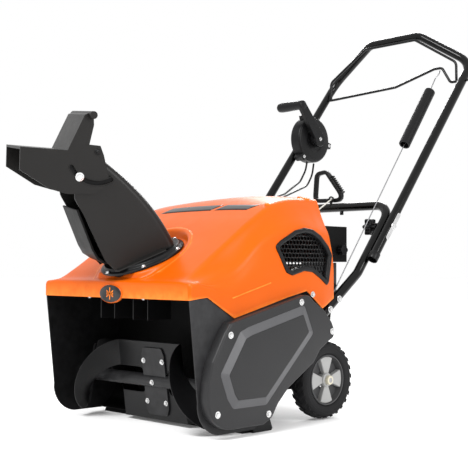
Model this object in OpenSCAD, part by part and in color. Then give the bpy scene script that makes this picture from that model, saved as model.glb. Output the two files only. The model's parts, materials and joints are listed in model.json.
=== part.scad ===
// Single-stage snow blower with a 21 inch auger, a turning chute and a folding handle.
// X runs across the machine, the auger opening faces -Y and the ground is z = 0.
// The origin lies on the scraper's bottom face, in the centre plane.

/* [Auger housing] */
// Half width over the side plates
plate_half = 277; // [260:1:300]
// Thickness of the side plates
plate_t = 3; // [2:0.5:5]
// How far the lip stands ahead of the scraper
lip_reach = 225; // [200:1:250]
// Top of the front lip
lip_top = 353; // [330:1:370]
// Height of the front lip's face
lip_h = 40; // [30:1:50]
// Outside radius of the auger
auger_r = 98; // [85:1:102]
// Radius of the auger's shaft
shaft_r = 10; // [8:0.5:12]

/* [Chute] */
// Outside radius of the chute's base ring
ring_r = 107; // [95:1:115]
// Forward tilt of the ring
ring_tilt = 25; // [15:1:30]
// Angle the chute is turned to the left
chute_turn = 20; // [0:1:30]
// Half width of the deflector
deflector_half = 66; // [60:1:72]

/* [Wheels] */
// Wheel radius
wheel_r = 100; // [95:1:105]
// Wheel width
wheel_w = 48; // [40:1:50]
// Outer face of the wheels from the centre plane
wheel_face = 258; // [250:1:262]
// Axle radius
axle_r = 6.35; // [6:0.05:7]

/* [Handle] */
// Radius of the handle tubes
tube_r = 12.7; // [11:0.1:14]
// Wall of the handle tubes
tube_wall = 1.8; // [1.5:0.1:2.5]
// Slope of the handle tubes above level
handle_slope = 50.75; // [48:0.25:53]
// Half width of the upper handle at its tubes' centres
upper_half = 266.8; // [262:0.2:270]
// Half width of the lower handle at its tubes' centres
lower_half = 240.2; // [236:0.2:243]

/* [Belt cover] */
// Depth of the belt cover
cover_depth = 27; // [24:1:32]
// Height of the raised panel on the cover
cover_panel_h = 8; // [4:1:10]

/* [Hidden] */
lip_y = -lip_reach;
lip_bottom = lip_top - lip_h;
auger_y = -95;
auger_z = auger_r + 8;
auger_clock = 8;
hub_x = 17;
blade_in = 32;
paddle_end = 246;
wing_start = 118;
wing_turn = 160;
ring_y = -128;
ring_z = 409;
throat_r = 88;
axle_y = 273;
tyre_inner_r = wheel_r * 0.65;
wheel_in = wheel_face - wheel_w;
cover_out = plate_half + cover_depth;
belt_mid = plate_half + 12;
engine_y = 130;
engine_z = 245;
auger_pulley_r = 66;
engine_pulley_r = 28;
belt_t = 8;
idler_r = 18;
idler_y = -12.7;
idler_z = 246.2;
idler_pivot_y = 60;
idler_pivot_z = 285;
frame_half = 204;
bolt_y = 517;
bolt_z = 499.5;
bail_y = 886;
bail_z = 951;
wire_r = 4;
crank_y = 765;
crank_z = 803;
hood_half = 281;
hood_t = 3;

// ---- helpers -------------------------------------------------------------------------------

function arc(cx, cy, r, a0, a1, n) =
    [for (i = [0 : n]) [cx + r * cos(a0 + (a1 - a0) * i / n), cy + r * sin(a0 + (a1 - a0) * i / n)]];
function unit(v) = v / norm(v);
function at(p, q, t) = p + (q - p) * t;

// A flat outline in the Y-Z plane, given thickness along X
module extrude_x(x0, x1) {
    translate([x0, 0, 0]) rotate([90, 0, 90]) linear_extrude(x1 - x0) children();
}

module rod_x(x0, x1, y, z, r) {
    translate([x0, y, z]) rotate([0, 90, 0]) cylinder(h = x1 - x0, r = r, $fn = 48);
}

// Its children's z axis turned from p towards q
module along(p, q) {
    d = q - p;
    translate(p) rotate([0, 0, atan2(d[1], d[0])])
        rotate([0, atan2(norm([d[0], d[1]]), d[2]), 0]) children();
}

module rod(p, q, r, n = 32) {
    along(p, q) cylinder(h = norm(q - p), r = r, $fn = n);
}

// The corner p of a bent path, as n chords of an arc that is tangent to both its runs
function bend_points(a, p, b, bend, n) =
    let (u = unit(p - a), w = unit(b - p), turn = acos(u * w), m = unit(cross(cross(u, w), u)),
        c = p - u * bend * tan(turn / 2) + m * bend)
    [for (i = [0 : n]) c - m * bend * cos(turn * i / n) + u * bend * sin(turn * i / n)];

function rounded(pts, bend, n) =
    concat([pts[0]],
        [for (i = [1 : len(pts) - 2]) each bend_points(pts[i - 1], pts[i], pts[i + 1], bend, n)],
        [pts[len(pts) - 1]]);

// Round bar along straight runs, with a ball just over its own radius at each corner
module cable_run(pts, r, n = 16) {
    last = len(pts) - 1;
    for (i = [0 : last - 1])
        rod(pts[i], pts[i + 1], r, n);
    for (i = [1 : last - 1])
        along(pts[i], pts[i + 1]) sphere(r = r + 0.3, $fn = n);
}

module mirrored_x() {
    children();
    mirror([1, 0, 0]) children();
}

module hex_head(x, y, z, r, h) {
    translate([x, y, z]) rotate([0, 90, 0]) cylinder(h = h, r = r, $fn = 6);
}

// ---- auger housing -------------------------------------------------------------------------

module housing_profile(r, wall_y, top_z) {
    polygon(concat(
        arc(auger_y, auger_z, r, -62, 0, 16),
        [[wall_y, top_z], [lip_y + 4, top_z], [lip_y + 4, top_z + 2.5], [wall_y + 2.5, top_z + 2.5]],
        arc(auger_y, auger_z, r + 2.5, 0, -62, 16)));
}

module auger_housing() color([0.10, 0.10, 0.10]) {
    back_r = auger_r + 9;
    difference() {
        extrude_x(-plate_half + plate_t, plate_half - plate_t)
            housing_profile(back_r, auger_y + back_r, lip_bottom);
        on_ring() translate([0, 0, -140]) cylinder(h = 120, r = throat_r, $fn = 64);
    }
}

// Outline of a side plate: front edge, rounded toe, sole, heel and the rise over the wheel
module plate_outline() {
    polygon(concat(
        [[lip_y + 2, lip_bottom + 3], [-197, 85]],
        arc(-124, 82, 74, 186, 262, 10),
        [[-20, 9], [14, 36], [36, 66], [72, 99], [130, 134], [164, 154], [190, 184], [222, 206],
            [242, 216], [236, 256], [207, 284], [190, 300], [166, 312], [150, 314], [116, 326]]));
}

module side_plate(x0) {
    difference() {
        extrude_x(x0, x0 + plate_t) plate_outline();
        rod_x(x0 - 5, x0 + 10, auger_y, auger_z, shaft_r + 3);
    }
}

module left_side_plate() color([0.14, 0.14, 0.14])
    side_plate(-plate_half);

module right_side_plate() color([0.14, 0.14, 0.14]) {
    difference() {
        side_plate(plate_half - plate_t);
        rod_x(plate_half - 9, plate_half + 9, engine_y, engine_z, 20);
        rod_x(plate_half - 9, plate_half + 9, 176, 265, 9);
    }
}

module scraper_bar() color([0.12, 0.12, 0.12])
    extrude_x(-plate_half + 15, plate_half - 15)
        polygon([[-43, 0], [8, 0], [8, 7], [-10, 16], [-24, 20], [-37, 12.5]]);

module discharge_duct() color([0.16, 0.16, 0.17]) {
    intersection() {
        on_ring() difference() {
            translate([0, 0, -150]) cylinder(h = 146, r = throat_r, $fn = 64);
            translate([0, 0, -151]) cylinder(h = 148, r = throat_r - 2.5, $fn = 64);
        }
        translate([-120, -300, lip_bottom + 2.6]) cube([240, 330, 200]);
    }
    for (x = [-90, -36, 36, 90])
        translate([x - 1.5, lip_y + 38, lip_bottom - 52]) cube([3, 72, 52]);
}

module skid_shoes() color([0.10, 0.10, 0.10])
    mirrored_x() extrude_x(plate_half - plate_t - 11, plate_half - plate_t)
        polygon([[-18, 0], [44, 0], [48, 6], [36, 34], [14, 36], [-18, 12]]);

// ---- hood ----------------------------------------------------------------------------------

// Each row: y, top, ridge half width, ridge z, flare half width, flare z, side half width,
// side z, lower edge z
hood_rows = [
    [lip_y, lip_top, 238, lip_top, 276, lip_top - 2, hood_half, lip_top - 8, lip_bottom],
    [-202, lip_top + 7, 238, lip_top + 6, 276, lip_top - 1, hood_half, lip_top - 8, lip_bottom + 3],
    [-172, 379, 237, 378, 273, 354, hood_half, 338, 319],
    [-88, 436, 236, 434, 271, 368, hood_half, 319, 270],
    [23, 511, 235, 508, 270, 449, hood_half, 348, 297],
    [90, 548, 232, 543, 270, 475, hood_half, 362, 314],
    [165, 568, 222, 560, 268, 487, 279, 372, 329],
    [230, 576, 212, 564, 262, 478, 274, 350, 284],
    [288, 581, 203, 565, 246, 470, 262, 400, 308]];

function hood_ring(row, t, y, drop) =
    let (x1 = row[2] - t, x2 = row[4] - t, x3 = row[6] - t, z0 = row[1] - t, z1 = row[3] - t,
        z2 = row[5] - t / 2, z3 = row[7], z4 = row[8] - drop)
    [[-x3, y, z4], [-x3, y, z3], [-x2, y, z2], [-x1, y, z1], [-x1 / 2, y, z0],
        [x1 / 2, y, z0], [x1, y, z1], [x2, y, z2], [x3, y, z3], [x3, y, z4]];

// Closed loft through the hood's rows, shrunk by t and run past the open sides by drop
module hood_loft(t, drop) {
    n = 10;
    last = len(hood_rows) - 1;
    pts = [for (i = [0 : last])
        each hood_ring(hood_rows[i], t,
            hood_rows[i][0] + (i == 0 ? t : 0) + (i == last ? drop : 0), drop)];
    faces = concat(
        [[for (j = [0 : n - 1]) j]],
        [for (i = [0 : last - 1], j = [0 : n - 1])
            let (a = i * n + j, b = i * n + (j + 1) % n)
            each [[a, a + n, b], [b, a + n, b + n]]],
        [[for (j = [n - 1 : -1 : 0]) last * n + j]]);
    polyhedron(points = pts, faces = faces);
}

module on_ring() {
    translate([0, ring_y, ring_z]) rotate([ring_tilt, 0, 0]) children();
}

module grille_outline(grow) {
    offset(delta = grow)
        polygon(concat(
            [[62, 436]],
            arc(170, 370, 109, 138, 62, 8),
            [[264, 437], [276, 416], [252, 348], [222, 366]],
            arc(160, 300, 83, 56, 112, 6),
            [[92, 378], [74, 412]]));
}

module hood() color([0.98, 0.42, 0.06]) {
    difference() {
        union() {
            difference() {
                hood_loft(0, 0);
                hood_loft(hood_t, 30);
            }
            intersection() {
                hood_loft(0, 0);
                on_ring() difference() {
                    translate([0, 0, -12]) cylinder(h = 90, r = ring_r + 15, $fn = 64);
                    cylinder(h = 200, r = ring_r + 12, $fn = 64);
                }
            }
            on_ring() translate([0, 0, -12]) cylinder(h = 12, r = ring_r - 1, $fn = 64);
        }
        on_ring() cylinder(h = 200, r = ring_r + 12, $fn = 64);
        on_ring() translate([0, 0, -40]) cylinder(h = 60, r = throat_r + 0.5, $fn = 64);
        extrude_x(-320, 320) grille_outline(-3);
    }
}

// A honeycomb panel with a raised rim, seen from the side
module grille(x0, x1) {
    pitch = 15;
    extrude_x(x0, x1) difference() {
        grille_outline(6);
        grille_outline(-9);
    }
    extrude_x(x0, x0 + 4) difference() {
        grille_outline(-8);
        for (i = [0 : 12], j = [0 : 8]) {
            cy = 76 + i * pitch + (j % 2) * pitch / 2;
            cz = 366 + j * pitch * 0.866;
            rise = abs(cy - 160) * 0.16;
            if (cz < 462 - rise && cz > 392 - max(0, abs(cy - 160) - 35) * 0.5
                && cy > 90 && cy < 258)
                translate([cy, cz]) circle(r = 6.6, $fn = 6);
        }
    }
}

module left_grille() color([0.08, 0.08, 0.08])
    mirror([1, 0, 0]) grille(244, 252);

module right_grille() color([0.08, 0.08, 0.08])
    grille(244, 252);

module oval_badge() color([0.15, 0.15, 0.15])
    translate([0, lip_y, lip_bottom + 10]) rotate([90, 0, 0])
        linear_extrude(4) scale([34, 21]) circle(r = 1, $fn = 64);

// ---- belt cover and drive ------------------------------------------------------------------

module cover_outline() {
    polygon(concat(
        arc(-117, 95, 73, 268, 180, 10),
        [[-188, 132], [-176, 176], [-138, 240]],
        arc(-112, 249, 14, 150, 84, 4),
        [[134, 320], [150, 318], [166, 304], [206, 280], [232, 252], [243, 232], [240, 212],
            [222, 204], [188, 184], [164, 154], [130, 134], [72, 99], [36, 66], [16, 36], [-12, 22]]));
}

module panel_outline() {
    polygon([[-154, 148], [-92, 240], [-66, 250], [122, 296], [128, 290], [160, 226], [-6, 68],
        [-114, 68], [-132, 92]]);
}

module belt_cover() color([0.19, 0.19, 0.19]) {
    difference() {
        extrude_x(plate_half, cover_out) cover_outline();
        extrude_x(plate_half - 1, cover_out - 3) offset(delta = -4) cover_outline();
    }
    hull() {
        extrude_x(cover_out - 1, cover_out) panel_outline();
        extrude_x(cover_out, cover_out + cover_panel_h) offset(delta = -22) panel_outline();
    }
}

cover_screw_places = [[-122, 234], [117, 303], [232, 228], [2, 46], [-162, 60]];

module cover_screws() color([0.78, 0.78, 0.76]) {
    for (p = cover_screw_places) {
        rod_x(cover_out, cover_out + 3, p[0], p[1], 7);
        hex_head(cover_out + 3, p[0], p[1], 5.5, 3);
    }
    for (x = [-104, 104])
        translate([x, lip_y + 14, lip_bottom - 4]) cylinder(h = 4, r = 5, $fn = 24);
    mirrored_x() rod_x(plate_half + 1.5, plate_half + 8, 188, 320, 6);
}

module sheave(r, w, bore) {
    rotate([0, 90, 0]) rotate_extrude($fn = 64)
        polygon([[bore, -w / 2], [r + 7, -w / 2], [r + 7, -w / 2 + 1.5], [r, -5.5],
            [r, 5.5], [r + 7, w / 2 - 1.5], [r + 7, w / 2], [bore, w / 2]]);
}

module auger_pulley() color([0.45, 0.45, 0.47])
    translate([belt_mid, auger_y, auger_z]) sheave(auger_pulley_r, 18, shaft_r);

module engine_pulley() color([0.45, 0.45, 0.47])
    translate([belt_mid, engine_y, engine_z]) sheave(engine_pulley_r, 18, 10);

module idler_pulley() color([0.45, 0.45, 0.47])
    translate([belt_mid, idler_y, idler_z]) rotate([0, 90, 0]) difference() {
        cylinder(h = 12, r = idler_r, center = true, $fn = 48);
        cylinder(h = 14, r = 5.05, center = true, $fn = 48);
    }

module belt_loop(grow) {
    hull() {
        translate([auger_y, auger_z]) circle(r = auger_pulley_r + grow, $fn = 64);
        translate([engine_y, engine_z]) circle(r = engine_pulley_r + grow, $fn = 48);
    }
}

module drive_belt() color([0.07, 0.07, 0.07])
    extrude_x(belt_mid - 5, belt_mid + 5) difference() {
        belt_loop(0.3 + belt_t);
        belt_loop(0.3);
    }

module idler_arm() color([0.5, 0.5, 0.52]) {
    extrude_x(belt_mid - 11, belt_mid - 8) hull() {
        translate([idler_y, idler_z]) circle(r = 11, $fn = 32);
        translate([idler_pivot_y, idler_pivot_z]) circle(r = 11, $fn = 32);
    }
    rod_x(belt_mid - 8, belt_mid + 10, idler_y, idler_z, 5);
    rod_x(plate_half, belt_mid + 4, idler_pivot_y, idler_pivot_z, 6);
}

module idler_spring() color([0.6, 0.6, 0.62])
    union() {
        rod([belt_mid + 8, 10, 262], [belt_mid + 8, 80, 290], 3.5);
        rod([belt_mid - 7.9, 10, 262], [belt_mid + 8, 10, 262], 2);
    }

// ---- frame, axle and wheels ----------------------------------------------------------------

lower_bolts = [[286, 279.5], [322, 305.5]];

module frame_side() {
    extrude_x(frame_half - 3, frame_half) difference() {
        polygon([[14.6, 79], [14.6, 210], [60, 306], [230, 330], [352, 352], [372, 340],
            [352, 300], [318, 84], [288, 84], [273, 82], [258, 84], [240, 79]]);
        translate([axle_y, wheel_r]) circle(r = axle_r, $fn = 48);
        translate([engine_y, engine_z]) circle(r = 24, $fn = 48);
    }
    for (b = lower_bolts)
        rod_x(frame_half, lower_half - tube_r, b[0], b[1], 11);
}

module engine_frame() color([0.10, 0.10, 0.10]) {
    mirrored_x() frame_side();
    translate([-frame_half + 1, 14.6, 79]) cube([2 * frame_half - 2, 232, 3]);
    translate([-frame_half + 1, 14.6, 79]) cube([2 * frame_half - 2, 3, 140]);
}

module axle() color([0.6, 0.6, 0.6])
    rod_x(-wheel_face - 7, wheel_face + 7, axle_y, wheel_r, axle_r);

module tyre() {
    w = wheel_w;
    rotate([0, 90, 0]) rotate_extrude($fn = 72)
        polygon([[tyre_inner_r, 5], [tyre_inner_r + 4, 2], [wheel_r - 10, 0], [wheel_r - 2, 5],
            [wheel_r, 12], [wheel_r, w - 12], [wheel_r - 2, w - 5], [wheel_r - 10, w],
            [tyre_inner_r + 4, w - 2], [tyre_inner_r, w - 5]]);
}

module rim() {
    w = wheel_w;
    rotate([0, 90, 0]) difference() {
        rotate_extrude($fn = 72)
            polygon([[axle_r + 0.08, 4], [16, 4], [18, w - 20], [50, w - 14], [54, 8], [tyre_inner_r, 6],
                [tyre_inner_r, w - 5], [tyre_inner_r - 5, w - 3], [56, w - 8], [18, w - 8],
                [16, w - 2], [axle_r + 0.08, w - 2]]);
        for (a = [45 : 90 : 315])
            rotate([0, 0, a]) translate([0, 0, -1]) linear_extrude(w + 2)
                polygon(concat(arc(0, 0, 49, -24, 24, 8), arc(0, 0, 26, 12, -12, 4)));
    }
}

module on_axle(side) {
    if (side > 0)
        translate([wheel_in, axle_y, wheel_r]) children();
    else
        mirror([1, 0, 0]) translate([wheel_in, axle_y, wheel_r]) children();
}

module left_tyre() color([0.08, 0.08, 0.08])
    on_axle(-1) tyre();

module left_rim() color([0.72, 0.72, 0.72])
    on_axle(-1) rim();

module right_tyre() color([0.08, 0.08, 0.08])
    on_axle(1) tyre();

module right_rim() color([0.72, 0.72, 0.72])
    on_axle(1) rim();

module axle_caps() color([0.80, 0.78, 0.68])
    mirrored_x() difference() {
        rod_x(wheel_face - 1.6, wheel_face + 9, axle_y, wheel_r, 12);
        rod_x(wheel_face - 9, wheel_face + 7, axle_y, wheel_r, axle_r);
    }

// ---- auger ---------------------------------------------------------------------------------

module on_auger() {
    translate([0, auger_y, auger_z]) rotate([auger_clock, 0, 0]) children();
}

module auger_shaft() color([0.45, 0.45, 0.46])
    rod_x(-plate_half + 1, plate_half + 22, auger_y, auger_z, shaft_r);

// Steel tube with two clamping plates in the middle and an arm to each paddle's tips
module auger_hub() color([0.22, 0.22, 0.23])
    on_auger() difference() {
        union() {
            rod_x(-256, 256, 0, 0, 16);
            for (s = [0, 180]) rotate([s, 0, 0]) {
                translate([hub_x - 42, s > 0 ? 3 : -7, 8]) cube([84, 4, 76]);
                translate([hub_x - 30, s > 0 ? 7 : -13, 26]) cube([60, 6, 22]);
            }
            for (s = [-1, 1], a = [wing_turn, wing_turn - 180])
                translate([s * 249 - 3, 0, 0]) rotate([a, 0, 0])
                    translate([0, -9, 8]) cube([6, 18, 70]);
        }
        rod_x(-300, 300, 0, 0, shaft_r);
    }

// The twisted end of a paddle, up to the arm at its tip
module paddle_wing(reach) {
    rotate([90, 0, 90]) linear_extrude(height = reach, twist = -wing_turn, slices = 24)
        rotate(90) translate([blade_in, -3]) square([auger_r - blade_in, 6]);
}

module paddle() {
    mirrored_x() translate([wing_start, 0, 0]) paddle_wing(paddle_end - wing_start);
    translate([-wing_start - 0.5, -3, blade_in]) cube([2 * wing_start + 1, 6, auger_r - 0.2 - blade_in]);
    translate([hub_x - 44.5, -3, 18]) cube([89, 6, blade_in - 17]);
}

module upper_paddle() color([0.11, 0.11, 0.11])
    on_auger() paddle();

module lower_paddle() color([0.11, 0.11, 0.11])
    on_auger() rotate([180, 0, 0]) paddle();

module paddle_bolts() color([0.80, 0.80, 0.80])
    on_auger() {
        for (x = [hub_x - 35, hub_x + 35], z = [-51, 51])
            translate([x, -7, z]) rotate([90, 0, 0]) cylinder(h = 5, r = 6, $fn = 24);
        translate([hub_x, -16, 0]) rotate([90, 0, 0]) cylinder(h = 4, r = 6, $fn = 24);
    }

module auger_bearings() color([0.5, 0.5, 0.52])
    mirrored_x() difference() {
        rod_x(plate_half - plate_t - 9, plate_half - plate_t, auger_y, auger_z, 26);
        rod_x(plate_half - 20, plate_half + 9, auger_y, auger_z, shaft_r + 0.05);
    }

// ---- engine --------------------------------------------------------------------------------

module engine_block() color([0.55, 0.55, 0.56]) {
    difference() {
        union() {
            translate([-84, 62, 82]) cube([190, 150, 62]);
            translate([-76, 68, 143]) cube([180, 140, 178]);
            rod_x(104, 130, engine_y, engine_z, 44);
        }
        rod_x(-200, 200, engine_y, engine_z, 11.05);
    }
    for (i = [0 : 6])
        translate([-62, 76, 322 + i * 14]) cube([140, 128, 6]);
    translate([-40, 96, 320]) cube([96, 88, 108]);
    translate([-52, 88, 420]) cube([116, 104, 22]);
}

module crankshaft() color([0.6, 0.6, 0.6])
    difference() {
        union() {
            rod_x(-92, 276, engine_y, engine_z, 11);
            rod_x(275, plate_half + 22, engine_y, engine_z, 10);
        }
        rod_x(plate_half + 14, plate_half + 30, engine_y, engine_z, 3);
    }

module recoil_housing() color([0.09, 0.09, 0.09])
    difference() {
        union() {
            rod_x(-150, -94, engine_y, engine_z, 92);
            rod_x(-164, -149, engine_y, engine_z, 60);
        }
        rod_x(-146, -93, engine_y, engine_z, 86);
        for (a = [0 : 30 : 330])
            translate([-170, engine_y, engine_z]) rotate([a, 0, 0]) translate([0, 0, 40])
                rotate([0, 90, 0]) cylinder(h = 40, r = 7, $fn = 24);
    }

module muffler() color([0.35, 0.34, 0.33]) {
    rod([84, 300, 362], [166, 300, 362], 34);
    rod([84, 210, 352], [110, 282, 356], 12);
}

// Bent sheet with rows of round holes round the muffler
module muffler_guard() color([0.12, 0.12, 0.12])
    difference() {
        translate([70, 256, 320]) cube([112, 140, 80]);
        translate([67, 250, 316]) cube([112, 143, 88]);
        for (i = [0 : 9], j = [0 : 5])
            rod_x(170, 190, 268 + i * 12.6, 330 + j * 12, 3.8);
    }

module fuel_tank() color([0.07, 0.07, 0.07])
    difference() {
        union() {
            translate([-196, 226, 380]) cube([116, 150, 100]);
            translate([-138, 336, 478]) cylinder(h = 36, r = 24, $fn = 48);
        }
        translate([-192, 230, 384]) cube([108, 142, 92]);
        translate([-138, 336, 470]) cylinder(h = 60, r = 20, $fn = 48);
    }

module fuel_cap() color([0.07, 0.07, 0.07])
    translate([-138, 336, 514]) difference() {
        cylinder(h = 22, r = 30, $fn = 48);
        for (a = [0 : 45 : 315])
            rotate([0, 0, a]) translate([33, 0, -1]) cylinder(h = 30, r = 6, $fn = 16);
    }

module control_box() color([0.10, 0.10, 0.11])
    difference() {
        translate([56, 300, 402]) cube([144, 118, 95]);
        translate([59, 303, 398]) cube([138, 112, 96]);
        rod_x(190, 210, 388, 434, 6.4);
        translate([160, 440, 470]) rotate([90, 0, 0]) cylinder(h = 40, r = 15, $fn = 48);
        translate([104, 440, 470]) rotate([90, 0, 0]) cylinder(h = 40, r = 6.5, $fn = 48);
    }

module choke_knob() color([0.05, 0.05, 0.05]) {
    rod_x(184, 204, 388, 434, 6.3);
    difference() {
        rod_x(203, 217, 388, 434, 14);
        for (a = [0 : 60 : 300])
            translate([0, 388, 434]) rotate([a, 0, 0]) translate([202, 0, 17])
                rotate([0, 90, 0]) cylinder(h = 20, r = 5, $fn = 16);
    }
}

module primer_bulb() color([0.55, 0.06, 0.05])
    translate([160, 404, 470]) rotate([-90, 0, 0]) {
        cylinder(h = 16, r = 14.9, $fn = 48);
        translate([0, 0, 16]) intersection() {
            sphere(r = 14.9, $fn = 48);
            cylinder(h = 16, r = 15, $fn = 48);
        }
    }

module start_key() color([0.75, 0.10, 0.06]) {
    translate([104, 396, 470]) rotate([-90, 0, 0]) cylinder(h = 32, r = 6.4, $fn = 32);
    translate([90, 427, 464]) cube([28, 18, 12]);
}

// ---- chute ---------------------------------------------------------------------------------

module on_chute() {
    on_ring() rotate([0, 0, -chute_turn]) children();
}

module chute_ring() color([0.08, 0.08, 0.08])
    on_ring() difference() {
        union() {
            cylinder(h = 7, r = ring_r, $fn = 72);
            cylinder(h = 14, r = ring_r - 10, $fn = 72);
            translate([0, 0, -18]) cylinder(h = 19, r = throat_r - 2.9, $fn = 72);
        }
        translate([0, 0, -30]) cylinder(h = 60, r = throat_r - 6, $fn = 72);
    }

// Side profile of the chute: forward distance, height above the ring
back_curve = [for (i = [0 : 10]) let (s = i / 10) [-74 + 30 * s + 86 * s * s, 14 + 282 * s]];

module chute_profile(inset) {
    front = [[92, 14], [108, 47], [112, 90], [118, 165], [126, 215], [100, 262], [62, 288]];
    polygon(concat(
        [for (p = front) [p[0] + (inset > 0 ? 60 : 0), p[1] + (p[1] < 20 ? -4 * inset : 0)]],
        [for (i = [10 : -1 : 0]) [back_curve[i][0] + inset,
            back_curve[i][1] + (i == 0 ? -4 * inset : 0) + (i == 10 && inset > 0 ? 20 : 0)]]));
}

// A flat outline in the chute's side plane, given thickness across the chute
module across_chute(half) {
    rotate([90, 0, -90]) translate([0, 0, -half]) linear_extrude(2 * half) children();
}

// A bent channel, open in front, with a round ear on each side for the deflector's pivot
module chute() color([0.10, 0.10, 0.10])
    on_chute() difference() {
        across_chute(61) union() {
            chute_profile(0);
            hull() {
                translate([pivot_f, pivot_h]) circle(r = 11, $fn = 32);
                translate([60, 270]) circle(r = 11, $fn = 32);
            }
        }
        across_chute(57.5) union() {
            chute_profile(4);
            translate([0, 280]) square([90, 40]);
        }
    }

// A bent sheet that closes the lower part of the chute's front
module chute_apron() color([0.09, 0.09, 0.09])
    on_chute() across_chute(57.4)
        polygon([[88, 33], [111, 40], [124, 58], [128, 82], [130, 186], [125, 186], [123, 84],
            [119, 61], [108, 45], [88, 38]]);

pivot_f = 37;
pivot_h = 295;
slot_r = 72;
slot_mid = -52;

module deflector_outline() {
    polygon(concat(
        [[24, 356], [50, 318], [26, 306], [26, 282]],
        arc(74, 258, 50, 215, 300, 6),
        [[140, 231], [174, 257], [222, 322], [202, 370], [103, 324], [36, 386], [14, 386]]));
}

module deflector() color([0.09, 0.09, 0.09])
    on_chute() {
        difference() {
            across_chute(deflector_half) deflector_outline();
            across_chute(deflector_half - 4)
                polygon([[-20, 270], [20, 190], [160, 200], [230, 290], [240, 330], [260, 372], [200, 364],
                    [103, 319], [78, 340], [20, 300]]);
            across_chute(deflector_half + 2) translate([pivot_f, pivot_h]) circle(r = 4.2, $fn = 32);
            across_chute(deflector_half + 2) translate([pivot_f, pivot_h]) slot_shape();
        }
        translate([0, -20, 379]) rotate([0, 90, 0])
            cylinder(h = 2 * deflector_half + 24, r = 9, center = true, $fn = 32);
    }

module slot_shape() {
    a0 = slot_mid - 44;
    a1 = slot_mid + 44;
    polygon(concat(arc(0, 0, slot_r + 5, a0, a1, 16), arc(0, 0, slot_r - 5, a1, a0, 16)));
    rotate(a0) translate([slot_r, 0]) circle(r = 5, $fn = 24);
    rotate(a1) translate([slot_r, 0]) circle(r = 5, $fn = 24);
}

module chute_bolts() color([0.75, 0.75, 0.75]) {
    clamp = [pivot_f + slot_r * cos(slot_mid + 20), pivot_h + slot_r * sin(slot_mid + 20)];
    on_chute() for (s = [-1, 1], p = [[pivot_f, pivot_h], clamp])
        translate([s * 64, -p[0], p[1]]) rotate([0, 90, 0]) {
            cylinder(h = 16, r = 4, center = true, $fn = 32);
            translate([0, 0, s * 7]) cylinder(h = 5, r = 7.5, center = true, $fn = 24);
        }
    on_ring() for (a = [20 : 60 : 320])
        rotate([0, 0, a]) translate([ring_r - 5, 0, 7]) cylinder(h = 4, r = 4.5, $fn = 24);
}

// ---- handle --------------------------------------------------------------------------------

function on_slope(z) = bolt_y + (z - bolt_z) / tan(handle_slope);

// The side tubes are open below: their bores run up from the ends p to the points q
module tube_bores(p, q) {
    mirrored_x() rod(p + (p - q) * 0.01, q, tube_r - tube_wall);
}

module lower_handle() color([0.06, 0.06, 0.06]) {
    x = lower_half;
    top = 562;
    foot = [x, 262, 261.5];
    knee = [x, on_slope(372), 372];
    pts = [[-x, foot[1], foot[2]], [-x, knee[1], knee[2]], [-x, on_slope(top), top],
        [x, on_slope(top), top], knee, foot];
    difference() {
        cable_run(rounded(pts, 34, 2), tube_r, 32);
        tube_bores(foot, at(foot, knee, 0.84));
        rod_x(-300, 300, bolt_y, bolt_z, 4.2);
    }
    rod([20, on_slope(top), top + tube_r - 1], [20, on_slope(top), top + tube_r + 5], 4);
    translate([20, on_slope(top), top + tube_r + 12]) rotate([90, 0, 0])
        rotate_extrude($fn = 32) translate([8, 0]) circle(r = 2.4, $fn = 16);
    rod([60, on_slope(top), top - tube_r - 8], [60, on_slope(top), top - tube_r + 1], 5);
}

upper_foot = [upper_half, on_slope(418), 418];
upper_corner = [upper_half, on_slope(1009.5), 1009.5];
upper_top = [95.7, on_slope(1009.5) - 26, 1116];

module upper_handle() color([0.06, 0.06, 0.06]) {
    left = [for (p = [upper_foot, upper_corner, upper_top]) [-p[0], p[1], p[2]]];
    sleeve = [0, 8, 8 * tan(handle_slope)];
    difference() {
        union() {
            cable_run(rounded([left[0], left[1], left[2], upper_top, upper_corner, upper_foot], 40, 2),
                tube_r, 32);
            mirrored_x() rod(upper_foot - sleeve, upper_foot + sleeve, tube_r + 1);
        }
        tube_bores(upper_foot - sleeve * 0.6, at(upper_foot, upper_corner, 0.95));
        rod_x(-300, 300, bolt_y, bolt_z, 4.2);
        rod_x(-300, 300, bail_y, bail_z - 1.5, wire_r + 0.08);
    }
}

module star_knob(x) {
    translate([x, bolt_y, bolt_z]) rotate([0, 90, 0]) difference() {
        union() {
            for (a = [0 : 60 : 300])
                rotate([0, 0, a]) translate([18, 0, 0]) cylinder(h = 20, r = 7, $fn = 24);
            cylinder(h = 20, r = 18, $fn = 36);
            translate([0, 0, 20]) cylinder(h = 14, r = 11, $fn = 36);
        }
        translate([0, 0, 6]) cylinder(h = 40, r = 4.05, $fn = 32);
    }
}

module right_knob() color([0.05, 0.05, 0.05])
    star_knob(lower_half - tube_r - 34.3);

module left_knob() color([0.05, 0.05, 0.05])
    mirror([1, 0, 0]) star_knob(lower_half - tube_r - 34.3);

// Carriage bolts through both tubes, with a flat zinc clip along the outside of each upper tube
module handle_bolts() color([0.80, 0.80, 0.80])
    mirrored_x() {
        rod_x(lower_half - tube_r - 27, upper_half + tube_r + 4, bolt_y, bolt_z, 4);
        rod_x(upper_half + tube_r + 3, upper_half + tube_r + 6, bolt_y, bolt_z, 9);
        translate([upper_half + tube_r + 0.3, bolt_y, bolt_z]) rotate([handle_slope, 0, 0])
            translate([0, -46, -6]) cube([2.5, 92, 12]);
        for (b = lower_bolts) {
            rod_x(lower_half + tube_r, lower_half + tube_r + 5, b[0], b[1], 8);
        }
    }

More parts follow.
